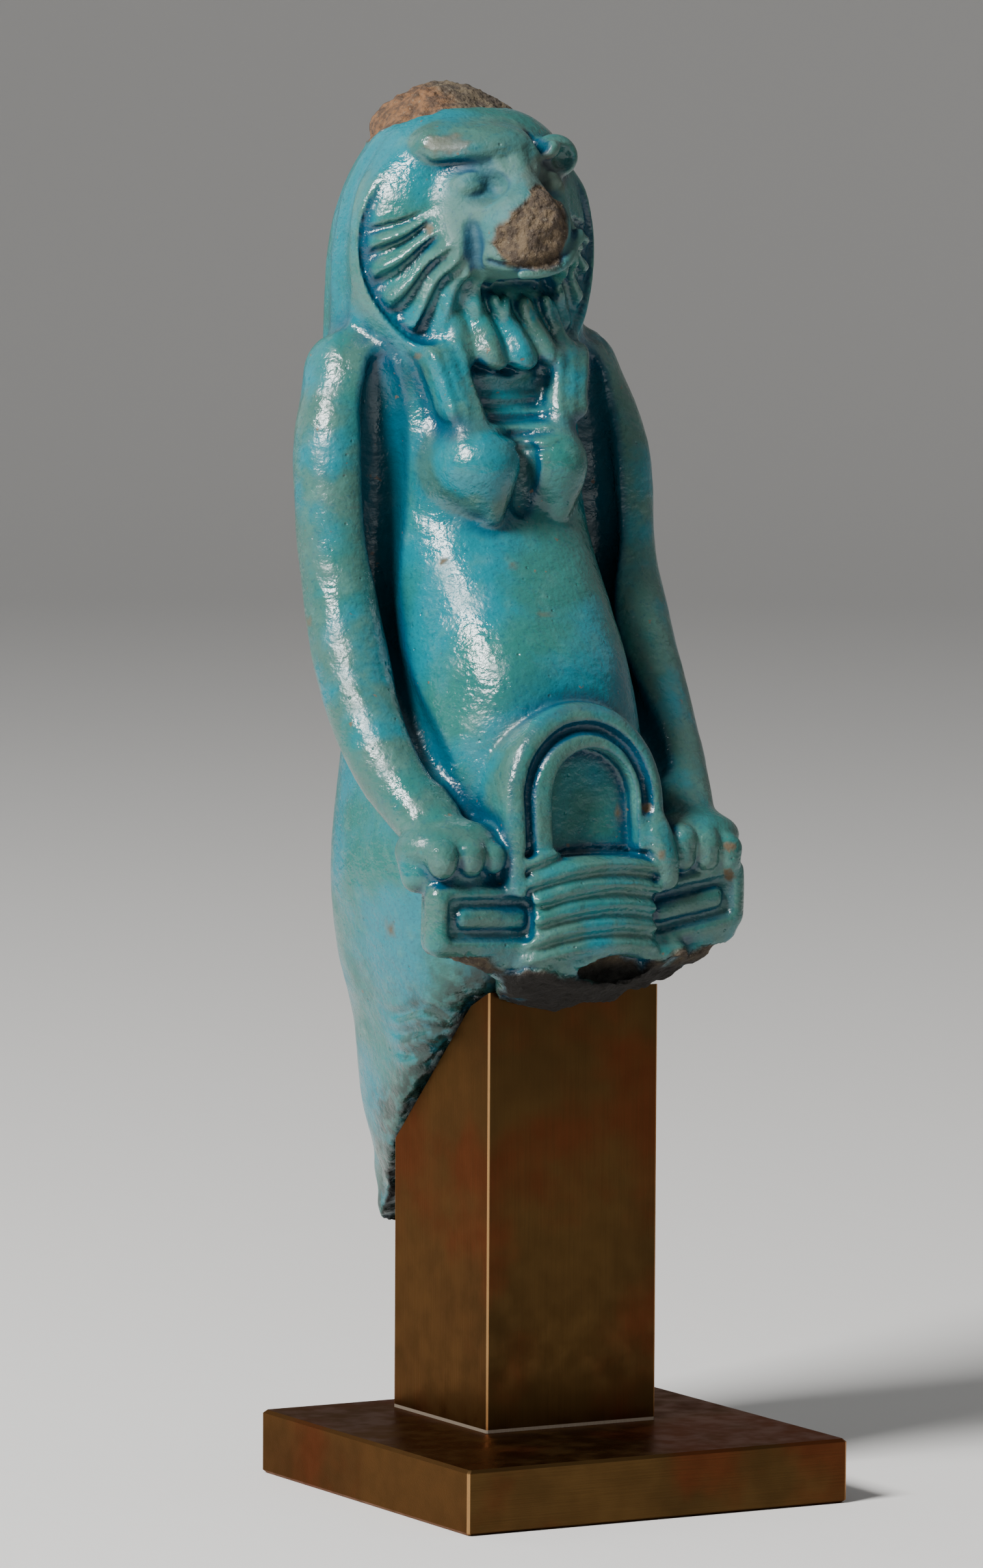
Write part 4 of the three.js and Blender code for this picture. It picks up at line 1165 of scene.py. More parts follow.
@dataclass(frozen=True)
class Breaks:
    """What is lost: the muzzle's end, the crown, the foot of the sign and the legs.

    The legs end in a slope that carries on the post's cut top.
    """

    post_front: float
    post_half: float
    front_top: float = 47.0
    shoulder_run: float = 3.5
    shoulder_top: float = 45.4
    back_top: float = 31.4
    clearance: float = 0.12
    sign_low: float = 46.2
    sign_flat: float = 45.4
    sign_rise: float = 0.7

    def slope(self, y: Array) -> Array:
        """Height of the post's cut top: a short shoulder, then an even slope to the back.

        Args:
            y: places from front to back.

        Returns:
            The height at each y.
        """
        fall = (self.shoulder_top - self.back_top) / (2 * self.post_half - self.shoulder_run)
        run = np.clip(y - self.post_front, 0, self.shoulder_run)
        shoulder = self.front_top - run * (self.front_top - self.shoulder_top) / self.shoulder_run
        return shoulder - fall * np.maximum(y - self.post_front - self.shoulder_run, 0)

    def underside(self, x: Array, y: Array, z: Array) -> Array:
        """Height above the sign's broken underside, which rises to the front and gently to the sides.

        Args:
            x: places across the figure, from its mid-plane.
            y: places from front to back.
            z: heights.

        Returns:
            Height at each place, across the break.
        """
        sides = np.where(x < -1, 0.03, 0.016) * (x + 1) ** 2
        steep = self.sign_low - self.sign_rise * (y + 6)
        return 0.8 * (z - sides + blend(-steep, -self.sign_flat, 1.0))

    def legs(self, x: Array, y: Array, z: Array) -> Array:
        """Height above the legs' broken end, measured across the slope."""
        return 0.7 * (z - self.slope(y) - self.clearance)

    def shape(self, clay: Clay) -> None:
        """Cuts the sign's foot and the legs away and leaves room for the post.

        Args:
            clay: the block that is worked on.
        """
        front = self.post_front - 0.1
        below_sign = Carving(self.underside, (-11, -13, 40), (15, front - 1.2, 50))
        clay.carve(below_sign, 0.3)
        legs = Carving(self.legs, (-20, self.post_front + 1.3, 18), (20, 34, 50))
        clay.carve_tapered(legs, 2.4, 0.05, lambda y: 1.0 - ease(8, 19, y))

    def masks(self, points: Array) -> dict[Mask, Array]:
        """How bare of glaze each place is, with frayed edges, how ruddy its core is, where painted shadow
        blackens the core underneath, and where painted shade with grime darkens the glaze near the post.

        Args:
            points: places on the figure, in millimetres from its mid-plane.

        Returns:
            Values between 0 and 1 for each place.
        """
        x, y, z = points.T
        fray = 0.35 * GRAIN.fractal(points, 2.4, 3)
        lower = np.hypot((x + 0.9) / 3.1, (z - 116.2) / 2.85)
        upper = np.hypot((x - 1.0) / 2.3, (z - 118.6) / 2.3)
        patch = blend(lower, upper, 0.5)
        muzzle = (1.0 - ease(0.93, 1.08, patch + 0.5 * fray)) * (1.0 - ease(4, 4.8, y))
        crown = ease(-0.25, 0.25, z - 126.6 + 0.42 * (y - 17.5) - 0.1 * x + 1.2 * fray)
        chip = np.hypot((x - 2.4) / 3.6, (z - 49.1) / 1.3)
        low = np.minimum(self.underside(x, y, z) - 0.5, 1.5 * (chip - 0.9))
        sign = (1.0 - ease(0.0, 0.4, low + fray)) * (1.0 - ease(-3.2, -2.4, y)) * (z < 51)
        legs = 1.0 - ease(0.0, 0.5, self.legs(x, y, z) + 0.8 * fray)
        legs = legs * (y > self.post_front - 0.3) * (z < 49)
        ruddy = crown * (1.0 - ease(-3.5, -1.0, x + 2.0 * fray)) + 0.15 * muzzle
        # Painted shade with grime: the glaze darkens within a few millimetres of the legs' cut.
        grime_and_shade = 1.0 - ease(0.5, 5.5, self.legs(x, y, z) + 4.0 * fray)
        return {
            Mask.BARE: np.clip(muzzle + crown + sign + legs, 0.0, 1.0),
            Mask.RUDDY: np.clip(ruddy, 0.0, 1.0),
            # Painted shadow: bare core below 51 mm is blackened, the shade under the sign.
            Mask.UNDERSIDE_SHADOW: np.clip(1.0 - ease(48.5, 51, z), 0.0, 1.0),
            Mask.GRIME_AND_SHADE: grime_and_shade * (y > self.post_front - 0.3) * (z < 52),
        }


@dataclass(frozen=True)
class Spot:
    """A chip or stain, by its place as seen from the photograph's side, its half sizes and its strength."""

    across: float
    up: float
    half_width: float
    half_height: float
    strength: float = 1.0


@dataclass(frozen=True)
class Blemishes:
    """Chips, pits and stains on the side that the photograph shows.

    A place's across is 0.873 X - 0.487 Y, and its up is Z + 0.041 X + 0.074 Y, where X is the frame's.
    """

    spots: tuple[Spot, ...] = (
        Spot(-10.1, 125.1, 2.2, 1.1, 0.65), Spot(-12.0, 117.2, 0.55, 0.6, 0.9),
        Spot(-23.2, 80.7, 0.7, 0.5, 0.7), Spot(-10.5, 86.4, 0.45, 0.45),
        Spot(16.1, 60.1, 0.65, 0.5), Spot(16.0, 57.5, 0.5, 0.5),
        Spot(5.75, 63.0, 0.45, 0.4), Spot(8.4, 63.7, 0.5, 0.4), Spot(-1.3, 122.6, 2.4, 2.0, 0.4),
        Spot(-15.3, 52.0, 0.4, 0.35), Spot(9.7, 59.3, 0.35, 0.4, 0.8), Spot(-13.0, 105.5, 0.35, 0.3, 0.7),
        Spot(-4.0, 86.0, 0.35, 0.3, 0.6), Spot(-1.5, 81.5, 0.4, 0.3, 0.5), Spot(-21.9, 74.0, 0.4, 0.6, 0.5),
    )
    across: Triple = (0.873, -0.487, 0.0)
    up: Triple = (0.041, 0.074, 1.0)
    to_viewer: Triple = (-0.487, -0.873, 0.085)

    def stain(self, points: Array, normals: Array) -> Array:
        """The strongest spot at each place that faces the photograph's side, with frayed edges.

        Args:
            points: places in the frame, in millimetres.
            normals: directions away from the skin.

        Returns:
            One value between 0 and 1 for each place.
        """
        across, up = points @ self.across, points @ self.up
        fray = 0.3 * GRAIN.fractal(points, 0.9, 3)
        found = np.zeros(len(points))
        for spot in self.spots:
            away = np.hypot((across - spot.across) / spot.half_width, (up - spot.up) / spot.half_height)
            found = np.maximum(found, spot.strength * (1.0 - ease(0.7, 1.1, away + fray)))
        return found * ease(0.0, 0.3, normals @ self.to_viewer)


@dataclass(frozen=True)
class Swatch:
    """Named colours as linear red, green and blue."""

    # Painted shade colour for the hollows, also the colour of random dark flecks.
    deep: Triple = (0.0, 0.042, 0.078)
    turquoise: Triple = (0.002, 0.14, 0.175)
    green: Triple = (0.015, 0.115, 0.1)
    pale: Triple = (0.07, 0.2, 0.17)
    worn: Triple = (0.038, 0.108, 0.09)
    speck: Triple = (0.13, 0.075, 0.045)
    # Painted shade with grime: dark colour near the post.
    grime_and_shade: Triple = (0.012, 0.03, 0.025)
    core_orange: Triple = (0.165, 0.08, 0.033)
    core_grey: Triple = (0.088, 0.066, 0.038)
    core_dark: Triple = (0.03, 0.02, 0.014)
    # Painted shadow colour, near black.
    shadow_black: Triple = (0.004, 0.003, 0.002)
    grain_pale: Triple = (0.17, 0.145, 0.1)
    brass: Triple = (0.085, 0.046, 0.015)
    brass_dark: Triple = (0.05, 0.028, 0.01)
    brass_red: Triple = (0.1, 0.028, 0.011)
    # Bright brass for the polished edges with painted highlight.
    brass_bright: Triple = (0.36, 0.2, 0.08)
    brass_grazing: Triple = (0.85, 0.62, 0.55)
    dust: Triple = (0.12, 0.1, 0.075)


SWATCH = Swatch()


class Palette:
    """A material's node tree, with short calls for the nodes that the finishes use."""

    def __init__(self, name: str) -> None:
        """Makes an empty node material with its shader.

        Args:
            name: the material's name.
        """
        self.material = bpy.data.materials.new(name)
        self.material.use_nodes = True
        self.nodes = self.material.node_tree.nodes
        self.links = self.material.node_tree.links
        self.shader = self.nodes["Principled BSDF"]
        self.place = self.nodes.new("ShaderNodeTexCoord").outputs["Object"]

    def feed(self, socket: Socket, value: object) -> None:
        """Links an output to a socket, or sets a plain value or colour on it."""
        if isinstance(value, Socket):
            self.links.new(value, socket)
        elif isinstance(value, tuple) and len(socket.default_value) == 4:
            socket.default_value = (*value, 1.0)
        else:
            socket.default_value = value

    def grain(self, per_mm: float, detail: float = 3.0, stretch: Triple = (1.0, 1.0, 1.0)) -> Socket:
        """Noise about 0.5, stretched by dividing the coordinates.

        Args:
            per_mm: cells to the millimetre.
            detail: octaves of finer noise.
            stretch: how much longer a cell is along each axis.

        Returns:
            The noise's output.
        """
        mapping = self.nodes.new("ShaderNodeMapping")
        mapping.inputs["Scale"].default_value = [1.0 / s for s in stretch]
        self.feed(mapping.inputs["Vector"], self.place)
        noise = self.nodes.new("ShaderNodeTexNoise")
        noise.inputs["Scale"].default_value = per_mm / MM
        noise.inputs["Detail"].default_value = detail
        self.feed(noise.inputs["Vector"], mapping.outputs["Vector"])
        return noise.outputs["Fac"]

    def pits(self, per_mm: float, radius: float) -> Socket:
        """Round pits: 1 at the middle of each cell's point, 0 from the given share of a cell outwards.

        Args:
            per_mm: cells to the millimetre.
            radius: the pits' size as a share of a cell.

        Returns:
            The pits' output.
        """
        cells = self.nodes.new("ShaderNodeTexVoronoi")
        cells.inputs["Scale"].default_value = per_mm / MM
        self.feed(cells.inputs["Vector"], self.place)
        return self.scale(cells.outputs["Distance"], 0.0, radius, 1.0, 0.0)

    def mask(self, mask: Mask) -> Socket:
        """A point attribute's value.

        Args:
            mask: the attribute that is read.

        Returns:
            Its output.
        """
        node = self.nodes.new("ShaderNodeAttribute")
        node.attribute_name = mask.value
        return node.outputs["Fac"]

    def scale(self, value: object, low: float, high: float, start: float = 0.0, end: float = 1.0) -> Socket:
        """Maps low..high to start..end smoothly and holds it there outside.

        Args:
            value: the output or number that is mapped.
            low: where the mapping starts.
            high: where it ends.
            start: result at low.
            end: result at high.

        Returns:
            The mapped output.
        """
        node = self.nodes.new("ShaderNodeMapRange")
        node.interpolation_type = "SMOOTHSTEP"
        for name, number in zip(("From Min", "From Max", "To Min", "To Max"), (low, high, start, end)):
            node.inputs[name].default_value = number
        self.feed(node.inputs["Value"], value)
        return node.outputs["Result"]

    def sum(self, kind: str, a: object, b: object) -> Socket:
        """One arithmetic step, such as MULTIPLY or ADD.

        Args:
            kind: the step's name.
            a: first output or number.
            b: second output or number.

        Returns:
            The step's output.
        """
        node = self.nodes.new("ShaderNodeMath")
        node.operation = kind
        self.feed(node.inputs[0], a)
        self.feed(node.inputs[1], b)
        return node.outputs[0]

    def mix(self, share: object, a: object, b: object) -> Socket:
        """Colour a where the share is 0 and colour b where it is 1.

        Args:
            share: how much of b shows.
            a: first output or colour.
            b: second output or colour.

        Returns:
            The mixed colour's output.
        """
        node = self.nodes.new("ShaderNodeMix")
        node.data_type = "RGBA"
        self.feed(node.inputs[0], share)
        self.feed(node.inputs[6], a)
        self.feed(node.inputs[7], b)
        return node.outputs[2]

    def relief(self, height: object, depth_mm: float, below: object = None) -> Socket:
        """A bump of that depth, laid over another one.

        Args:
            height: output that gives the height.
            depth_mm: depth of the bump in millimetres.
            below: the bump underneath, if any.

        Returns:
            The output for the next bump or the shader.
        """
        node = self.nodes.new("ShaderNodeBump")
        node.inputs["Distance"].default_value = depth_mm * MM
        self.feed(node.inputs["Height"], height)
        if below is not None:
            self.feed(node.inputs["Normal"], below)
        return node.outputs["Normal"]

    def finish(self, colour: object, roughness: object, normal: object) -> bpy.types.Material:
        """Feeds the shader.

        Args:
            colour: base colour, as an output or a colour.
            roughness: roughness, as an output or a number.
            normal: output of the last bump.

        Returns:
            The finished material.
        """
        self.feed(self.shader.inputs["Base Color"], colour)
        self.feed(self.shader.inputs["Roughness"], roughness)
        self.feed(self.shader.inputs["Normal"], normal)
        return self.material


@dataclass(frozen=True)
class GlazedFaience:
    """Turquoise glaze with painted shade in the hollows and pale on the ridges, over a gritty brown core.
    """

    name: str = "glazed_faience"
    gloss_roughness: float = 0.17
    worn_roughness: float = 0.42
    dull_roughness: float = 0.7
    core_roughness: float = 0.9

    def glaze(self, p: Palette) -> Socket:
        """Glaze that drifts from turquoise to green, greyer where raised, with painted shade in the
        hollows.

        Args:
            p: palette of the material.

        Returns:
            The glaze's colour.
        """
        drift = p.scale(p.grain(0.1, 4.0), 0.4, 0.62)
        glaze = p.mix(drift, SWATCH.turquoise, SWATCH.green)
        patchy = p.scale(p.grain(0.25, 5.0), 0.3, 0.62)
        raised = p.sum("MULTIPLY", p.scale(p.mask(Mask.RAISED), 0.02, 0.3), patchy)
        glaze = p.mix(raised, glaze, SWATCH.worn)
        glaze = p.mix(p.scale(p.grain(0.5, 5.0), 0.52, 0.8, 0.0, 0.4), glaze, SWATCH.pale)
        glaze = p.mix(p.scale(p.mask(Mask.RIDGE), 0.25, 1.0, 0.0, 0.5), glaze, SWATCH.pale)
        glaze = p.mix(p.scale(p.mask(Mask.DULL), 0.0, 1.0, 0.0, 0.6), glaze, SWATCH.worn)
        # Painted shade: the deep colour fills hollows and creases, by how closed-in each place is.
        glaze = p.mix(p.scale(p.mask(Mask.HOLLOW_SHADE), 0.1, 0.6), glaze, SWATCH.deep)
        glaze = p.mix(p.scale(p.grain(2.6, 4.0), 0.53, 0.72, 0.0, 0.35), glaze, SWATCH.deep)
        return p.mix(p.scale(p.grain(0.9, 3.0), 0.71, 0.76, 0.0, 0.7), glaze, SWATCH.speck)

    def core(self, p: Palette) -> Socket:
        """Gritty body: grey-brown or ruddy, with darker pores and pale grains, and painted near-black
        shadow underneath.

        Args:
            p: palette of the material.

        Returns:
            The core's colour.
        """
        core = p.mix(p.mask(Mask.RUDDY), SWATCH.core_grey, SWATCH.core_orange)
        core = p.mix(p.scale(p.grain(1.1, 6.0), 0.4, 0.62, 0.75, 0.0), core, SWATCH.core_dark)
        core = p.mix(p.scale(p.grain(3.2, 3.0), 0.6, 0.72, 0.0, 0.5), core, SWATCH.grain_pale)
        # Painted shadow: bare core underneath turns near black.
        return p.mix(p.scale(p.mask(Mask.UNDERSIDE_SHADOW), 0.0, 1.0, 0.0, 0.97), core, SWATCH.shadow_black)

    def material(self) -> bpy.types.Material:
        """Builds the node material.

        Returns:
            The finished material.
        """
        p = Palette(self.name)
        bare, stain = p.mask(Mask.BARE), p.mask(Mask.STAIN)
        # Painted shade with grime near the post, in mottled patches.
        grime_and_shade = p.sum("MULTIPLY", p.mask(Mask.GRIME_AND_SHADE), p.scale(p.grain(0.8, 5.0), 0.38, 0.56, 0.25, 0.95))
        stained = p.mix(stain, p.mix(grime_and_shade, self.glaze(p), SWATCH.grime_and_shade), SWATCH.core_grey)
        colour = p.mix(bare, stained, self.core(p))
        worn = p.scale(p.grain(0.3, 5.0), 0.4, 0.72, self.gloss_roughness, self.worn_roughness)
        rough = p.sum("MULTIPLY", p.sum("MAXIMUM", bare, stain), self.core_roughness)
        dull = p.sum("MULTIPLY", p.mask(Mask.DULL), self.dull_roughness)
        roughness = p.sum("MAXIMUM", p.sum("MAXIMUM", worn, dull), rough)
        ripple = p.relief(p.grain(0.75, 3.0, (1.6, 1.6, 1.0)), 0.22)
        peel = p.relief(p.grain(2.0, 4.0), 0.09, ripple)
        pores = p.relief(p.sum("MULTIPLY", p.pits(0.55, 0.12), -1.0), 0.08, peel)
        grit = p.relief(p.sum("MULTIPLY", bare, p.grain(1.8, 8.0)), 0.55, pores)
        return p.finish(colour, roughness, grit)


@dataclass(frozen=True)
class BrownedBrass:
    """Dark satin brass with fine brushed lines, ruddy patches, polished edges with a painted highlight, and
    dust in the joint.
    """

    name: str = "browned_brass"
    along: Triple = (1.0, 1.0, 40.0)

    def material(self) -> bpy.types.Material:
        """Builds the node material.

        Returns:
            The finished material.
        """
        p = Palette(self.name)
        lines = p.grain(6.0, 2.0, self.along)
        colour = p.mix(p.scale(p.grain(0.05, 3.0), 0.4, 0.65, 0.0, 0.8), SWATCH.brass, SWATCH.brass_dark)
        colour = p.mix(p.scale(p.grain(0.07, 4.0), 0.47, 0.63, 0.0, 0.8), colour, SWATCH.brass_red)
        colour = p.mix(p.scale(lines, 0.4, 0.7, 0.0, 0.2), colour, SWATCH.brass_dark)
        # Polish with painted highlight: the cut corners turn bright brass.
        colour = p.mix(p.mask(Mask.POLISH_AND_HIGHLIGHT), colour, SWATCH.brass_bright)
        dust = p.mask(Mask.DUST)
        colour = p.mix(dust, colour, SWATCH.dust)
        satin = p.scale(p.grain(0.4, 5.0), 0.3, 0.7, 0.3, 0.48)
        roughness = p.sum("MAXIMUM", satin, p.sum("MULTIPLY", dust, 0.9))
        metal = p.scale(dust, 0.2, 0.8, 1.0, 0.0)
        p.feed(p.shader.inputs["Metallic"], metal)
        p.feed(p.shader.inputs["Specular Tint"], SWATCH.brass_grazing)
        return p.finish(colour, roughness, p.relief(lines, 0.012))


def make_piece(name: str, points: Array, faces: Array, masks: dict[Mask, Array]) -> bpy.types.Object:
    """Makes a mesh object from millimetre points.

    Args:
        name: the piece's name.
        points: places, one row each.
        faces: rows of three or four point numbers.
        masks: point attributes.

    Returns:
        The object, linked to the scene and smooth shaded.
    """
    mesh = bpy.data.meshes.new(name)
    mesh.vertices.add(len(points))
    mesh.vertices.foreach_set("co", (points * MM).astype(np.float32).ravel())
    mesh.loops.add(faces.size)
    mesh.loops.foreach_set("vertex_index", faces.astype(np.int32).ravel())
    mesh.polygons.add(len(faces))
    mesh.polygons.foreach_set("loop_start", np.arange(0, faces.size, faces.shape[1], dtype=np.int32))
    mesh.update(calc_edges=True)
    mesh.validate()
    set_masks(mesh, masks)
    mesh.polygons.foreach_set("use_smooth", np.ones(len(mesh.polygons), bool))
    piece = bpy.data.objects.new(name, mesh)
    bpy.context.scene.collection.objects.link(piece)
    return piece


def set_masks(mesh: bpy.types.Mesh, masks: dict[Mask, Array]) -> None:
    """Writes point attributes into a mesh."""
    for mask, values in masks.items():
        layer = mesh.attributes.get(mask.value) or mesh.attributes.new(mask.value, "FLOAT", "POINT")
        layer.data.foreach_set("value", values.astype(np.float32))


def dress(piece: bpy.types.Object, material: bpy.types.Material, node: str) -> None:
    """Gives a piece its finish and says which node it stands for.

    Args:
        piece: the object that is dressed.
        material: its finish.
        node: the node of the solids that it replaces.
    """
    piece.data.materials.append(material)
    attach(piece, BODY)
    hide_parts(node)
    log.info("%s: %d faces, stands for %s", piece.name, len(piece.data.polygons), node)


@dataclass
class Amulet:
    """The glazed figure as one closed skin."""

    breaks: Breaks
    lowest: Array
    highest: Array
    mid_x: float = -1.0
    half_width: float = 20.0
    low: tuple[float, float] = (-13.0, 20.0)
    high: tuple[float, float] = (31.0, 132.0)
    cell: float = 0.3
    most_triangles: int = 190_000
    swell_height: float = 0.13
    lump_height: float = 0.42
    lump_sink: float = 0.22
    hollow_reaches: Triple = (0.6, 1.2, 2.4)
    ridge_reach: float = 0.9
    raised_reach: float = 3.6
    torso: Torso = Torso()
    breasts: Breasts = Breasts()
    wig: Wig = Wig()
    mane: Mane = Mane()
    face: Face = Face()
    beard: Beard = Beard()
    sign: Sign = Sign()
    hands: Hands = Hands()
    tail: Tail = Tail()
    blemishes: Blemishes = Blemishes()

    def model(self) -> Clay:
        """Shapes the whole figure in a fresh block of clay.

        Returns:
            The modelled figure.
        """
        clay = Clay(self.half_width, self.low, self.high, self.cell)
        self.torso.shape(clay)
        self.wig.shape(clay)
        self.mane.shape(clay)
        self.face.shape(clay)
        self.mane.comb(clay)
        self.beard.shape(clay)
        self.wig.hang(clay)
        self.breasts.shape(clay)
        self.sign.shape(clay)
        self.hands.shape(clay)
        self.tail.shape(clay)
        self.breaks.shape(clay)
        return clay

    def weathered(self, clay: Clay, points: Array) -> Array:
        """Moves the skin's points along its normals, by soft swells in the glaze and grit where bare.

        Args:
            clay: the modelled figure.
            points: places on its skin.

        Returns:
            The moved places.
        """
        bare = self.breaks.masks(points)[Mask.BARE]
        swell = self.swell_height * GRAIN.fractal(points, 6.5, 3, 0.45)
        lumps = self.lump_height * GRAIN.fractal(points, 2.6, 4, 0.6) - self.lump_sink
        outside = clay.normals(points)
        return points + (np.where(bare > 0, bare * lumps, 0.0) + (1.0 - bare) * swell)[:, None] * outside

    def masks(self, clay: Clay, points: Array) -> dict[Mask, Array]:
        """Hollows, whose mask paints shade, and ridges from the distances a little outside and inside the
        skin.

        A place is hollow where the distance out along its normal grows less than the step, and on a
        ridge where the distance in along it does.

        Args:
            clay: the modelled figure.
            points: places on its skin.

        Returns:
            Values between 0 and 1 for each mask and place.
        """
        def filled(reach: float) -> Array:
            """How much the distance falls short of the reach, going in along the normal."""
            return np.clip(1.0 + clay.sample(points - reach * outside) / reach, 0.0, 1.0)

        outside = clay.normals(points)
        open_share = [clay.sample(points + reach * outside) / reach for reach in self.hollow_reaches]
        # Painted shade: closed-in places, and the groove beside each arm, get the hollow mask.
        hollow = np.clip(1.0 - np.mean(open_share, axis=0), 0.0, 1.0)
        hollow = np.maximum(hollow, 0.45 * self.torso.pool(points))
        return {
            Mask.HOLLOW_SHADE: hollow,
            Mask.RIDGE: filled(self.ridge_reach),
            Mask.RAISED: filled(self.raised_reach),
            Mask.STAIN: self.blemishes.stain(points + [self.mid_x, 0, 0], outside),
            Mask.DULL: self.face.rubbed(points),
            **self.breaks.masks(points),
        }

    def build(self) -> bpy.types.Object:
        """Nets the skin, weathers it, thins it to the most triangles allowed and dresses it.

        Returns:
            The figure's object.
        """
        clay = self.model()
        points, faces = clay.skin()
        points = np.clip(self.weathered(clay, points), self.lowest, self.highest)
        piece = make_piece("glazed_amulet", points + [self.mid_x, 0, 0], faces, {})
        thinning = piece.modifiers.new("thinning", "DECIMATE")
        thinning.ratio = min(1.0, self.most_triangles / (2.0 * len(faces)))
        evaluated = piece.evaluated_get(bpy.context.evaluated_depsgraph_get())
        thinned = bpy.data.meshes.new_from_object(evaluated)
        piece.modifiers.clear()
        piece.data = thinned
        kept = np.empty(3 * len(thinned.vertices), np.float32)
        thinned.vertices.foreach_get("co", kept)
        places = kept.reshape(-1, 3).astype(float) / MM - [self.mid_x, 0, 0]
        set_masks(thinned, self.masks(clay, places))
        dress(piece, GlazedFaience().material(), "amulet")
        return piece


@dataclass
class SquareBar:
    """A square bar or plate with cut corners, as its outline carried up through rows of inset and height.

    The outline runs round from the right end of the front, and its left half mirrors its right half.
    """

    name: str
    node: str
    side: float
    centre: tuple[float, float]
    corner: float
    rows: tuple[tuple[float, float], ...]
    top: Profile | None = None
    dusty_to: float = 0.0
    polish_width: float = 0.06
    sheen: BrownedBrass = BrownedBrass()

    def half_outline(self) -> tuple[Array, Array]:
        """X and y of the right half of the outline, from the front's end to the back's.

        Returns:
            The two rows of coordinates, from the middle of the bar.
        """
        h = self.side / 2
        cut = h - self.corner
        near = cut - self.polish_width
        side = np.concatenate([[-near], np.linspace(1.0 - cut, cut - 1.0, 15), [near]])
        x = np.concatenate([[near, cut, h], np.full(len(side), h), [h, cut, near]])
        y = np.concatenate([[-h, -h, -cut], side, [cut, h, h]])
        return x, y

    def levels(self) -> Array:
        """The whole outline at every row, with the last row laid on the top's slope where it has one.

        Returns:
            The points, one outline after another.
        """
        x, y = self.half_outline()
        ring_x, ring_y = np.concatenate([x, -x[::-1]]), np.concatenate([y, y[::-1]])
        placed = []
        for inset, height in self.rows:
            shrink = 1.0 - 2.0 * inset / self.side
            px, py = ring_x * shrink + self.centre[0], ring_y * shrink + self.centre[1]
            placed.append(np.stack([px, py, np.full(len(px), height)], axis=1))
        if self.top is not None:
            placed[-1][:, 2] = self.top(placed[-1][:, 1])
        return np.vstack(placed)

    @staticmethod
    def cap(count: int) -> Array:
        """Triangles across one outline: strips between its sides, and a fan at the front and at the back.

        Args:
            count: points in half of the outline.

        Returns:
            Rows of three point numbers that turn upwards.
        """
        right = np.arange(2, count - 3)
        left = 2 * count - 1 - right
        lower = np.stack([left, right, right + 1], axis=1)
        strips = np.vstack([lower, np.stack([left, right + 1, left - 1], axis=1)])
        fan = np.stack([np.full(4, -3), np.arange(-2, 2), np.arange(-1, 3)], axis=1)
        return np.vstack([strips, fan % (2 * count), fan + count])

    def build(self) -> bpy.types.Object:
        """Joins the rows with walls, closes both ends and dresses the bar.

        Returns:
            The bar's object.
        """
        count = len(self.half_outline()[0])
        around = 2 * count
        i = np.arange(around)
        j = (i + 1) % around
        lower = np.stack([i, j, j + around], axis=1)
        wall = np.vstack([lower, np.stack([i, j + around, i + around], axis=1)])
        walls = [wall + around * n for n in range(len(self.rows) - 1)]
        cap = self.cap(count)
        faces = np.vstack([*walls, cap[:, ::-1], cap + around * (len(self.rows) - 1)])
        points = self.levels()
        piece = make_piece(self.name, points, faces, self.masks(points))
        piece.data.polygons.foreach_set("use_smooth", np.zeros(len(piece.data.polygons), bool))
        dress(piece, self.sheen.material(), self.node)
        return piece

    def masks(self, points: Array) -> dict[Mask, Array]:
        """Polish with painted highlight on the cut corners, and dust on the lowest rows.

        Args:
            points: places, one row each, in millimetres.

        Returns:
            Values of 0 or 1 for each mask and place.
        """
        off_x = self.side / 2 - np.abs(points[:, 0] - self.centre[0])
        off_y = self.side / 2 - np.abs(points[:, 1] - self.centre[1])
        # Polish with painted highlight on the cut corners.
        polish_and_highlight = (off_x + off_y < self.corner + self.polish_width / 2).astype(float)
        dust = (points[:, 2] < self.dusty_to).astype(float)
        return {Mask.POLISH_AND_HIGHLIGHT: polish_and_highlight, Mask.DUST: dust}


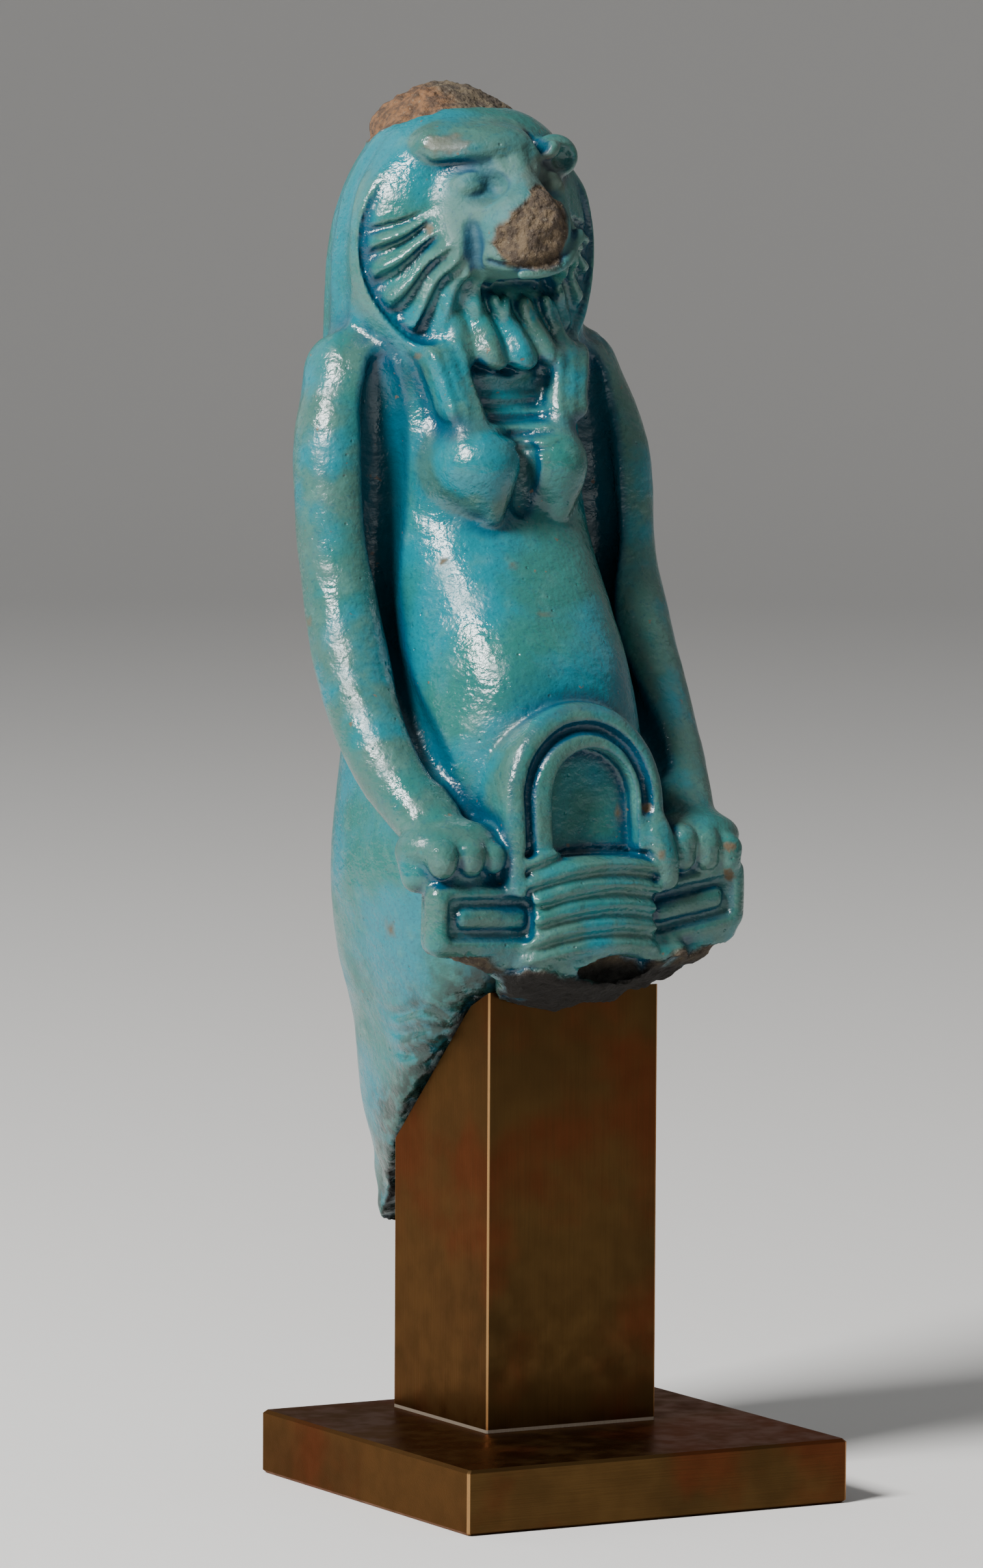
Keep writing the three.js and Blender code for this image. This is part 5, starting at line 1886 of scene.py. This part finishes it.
@dataclass(frozen=True)
class Studio:
    """A plain pale floor, soft lights and the camera at the photograph's angle."""

    azimuth: float = -29.17
    elevation: float = 4.86
    roll: float = 0.31
    eye: Triple = (-393.716, -693.130, 133.557)
    lens: float = 198.4
    floor_reach: float = 1300.0
    sweep_radius: float = 1000.0
    floor_colour: Triple = (0.7, 0.685, 0.66)
    world_colour: Triple = (0.8, 0.82, 0.85)
    world_strength: float = 0.18
    lamp_distance: float = 0.9
    aim: Triple = (0.0, 0.01, 0.08)
    turns: int = 96
    straight: int = 12
    bends: int = 17

    def towards(self, azimuth: float, elevation: float) -> Vector:
        """Unit direction from the object: azimuth 0 is the front, and it grows to the right."""
        a, e = math.radians(azimuth), math.radians(elevation)
        return Vector((math.sin(a) * math.cos(e), -math.cos(a) * math.cos(e), math.sin(e)))

    def camera(self) -> None:
        """Places the camera, turned by its roll about the line of sight."""
        data = bpy.data.cameras.new("camera")
        data.lens = self.lens
        data.clip_start, data.clip_end = 0.05, 20.0
        camera = bpy.data.objects.new("camera", data)
        back = self.towards(self.azimuth, self.elevation)
        turn = back.to_track_quat("Z", "Y").to_matrix() @ Matrix.Rotation(math.radians(self.roll), 3, "Z")
        camera.matrix_world = Matrix.LocRotScale(Vector(self.eye) * MM, turn, None)
        bpy.context.scene.collection.objects.link(camera)
        bpy.context.scene.camera = camera

    def lamp(self, name: str, azimuth: float, elevation: float, size: float, watts: float) -> None:
        """A square soft light, aimed at the object's middle.

        Args:
            name: the light's name.
            azimuth: its bearing in degrees, growing to the right from the front.
            elevation: its height in degrees.
            size: its side in metres.
            watts: its power.
        """
        data = bpy.data.lights.new(name, "AREA")
        data.size, data.energy = size, watts
        lamp = bpy.data.objects.new(name, data)
        direction = self.towards(azimuth, elevation)
        lamp.location = direction * self.lamp_distance + Vector(self.aim)
        lamp.rotation_mode = "QUATERNION"
        lamp.rotation_quaternion = direction.to_track_quat("Z", "Y")
        bpy.context.scene.collection.objects.link(lamp)

    def floor(self) -> None:
        """A wide round floor whose rim sweeps up: a straight run and a quarter circle, turned about Z."""
        bend = np.linspace(0.0, np.pi / 2.0, self.bends)[1:]
        bent = self.floor_reach + self.sweep_radius * np.sin(bend)
        run = np.concatenate([np.geomspace(5.0, self.floor_reach, self.straight), bent])
        rise = np.concatenate([np.zeros(self.straight), self.sweep_radius * (1.0 - np.cos(bend))])
        around = self.turns
        turn = np.linspace(0.0, 2.0 * np.pi, around + 1)[:-1]
        heights = np.repeat(rise[:, None], around, axis=1)
        rings = np.stack([np.outer(run, np.cos(turn)), np.outer(run, np.sin(turn)), heights], axis=-1)
        points = np.vstack([rings.reshape(-1, 3), np.zeros((1, 3))])
        i = np.arange(around)
        j = (i + 1) % around
        ring = np.stack([i, i + around, j + around, j], axis=1)
        quads = [ring + around * n for n in range(len(run) - 1)]
        k = np.arange(0, around, 2)
        middle = np.stack([np.full(len(k), len(points) - 1), k, k + 1, (k + 2) % around], axis=1)
        floor = make_piece("floor", points, np.vstack([*quads, middle]), {})
        p = Palette("pale_floor")
        floor.data.materials.append(p.finish(self.floor_colour, 0.75, p.relief(p.grain(0.2), 0.05)))

    def world(self) -> None:
        """Even pale light from all round."""
        world = bpy.data.worlds.new("studio")
        world.use_nodes = True
        sky = world.node_tree.nodes["Background"]
        sky.inputs["Color"].default_value = (*self.world_colour, 1.0)
        sky.inputs["Strength"].default_value = self.world_strength
        bpy.context.scene.world = world

    def build(self) -> None:
        """Sets up the camera, the floor and the lights."""
        self.camera()
        self.floor()
        self.world()
        self.lamp("key", -74.0, 38.0, 0.27, 20.0)
        self.lamp("fill", 75.0, 50.0, 0.9, 0.8)
        self.lamp("back", -150.0, 28.0, 0.8, 1.4)


def main() -> None:
    """Builds the studio, the amulet and its mount in order, and keeps both sizes."""
    logging.basicConfig(level=logging.INFO, format="%(name)s: %(message)s")
    post_low, post_high = (np.array(corner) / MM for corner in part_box("mount_post"))
    plate_low, plate_high = (np.array(corner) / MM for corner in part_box("mount_plinth"))
    side = post_high[0] - post_low[0]
    post_middle = ((post_low[0] + post_high[0]) / 2, (post_low[1] + post_high[1]) / 2)
    breaks = Breaks(post_front=post_low[1], post_half=side / 2)
    Studio().build()
    mid_plane = [Amulet.mid_x, 0, 0]
    figure_low, figure_high = (np.array(corner) / MM - mid_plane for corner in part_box("amulet"))
    Amulet(breaks, figure_low, figure_high).build()
    foot = plate_high[2]
    joint, dust_line, waist, neck = foot + 0.01, foot + 0.3, foot + 22.0, foot + 40.0
    SquareBar(
        "brass_post", "mount_post", side, post_middle, corner=0.14,
        rows=((0.0, joint), (0.0, dust_line), (0.0, dust_line + 0.04), (0.0, waist), (0.0, neck)),
        top=breaks.slope, dusty_to=dust_line + 0.01,
    ).build()
    bevel = 0.3
    SquareBar(
        "brass_plinth", "mount_plinth", plate_high[0] - plate_low[0], (0.0, 0.0), corner=0.2,
        rows=((bevel, 0.0), (0.0, bevel), (0.0, foot - bevel - 0.06), (0.0, foot - bevel), (bevel, foot)),
        sheen=BrownedBrass(name="browned_plate", along=(40.0, 1.0, 1.0)),
    ).build()


if __name__ == "__main__":
    main()
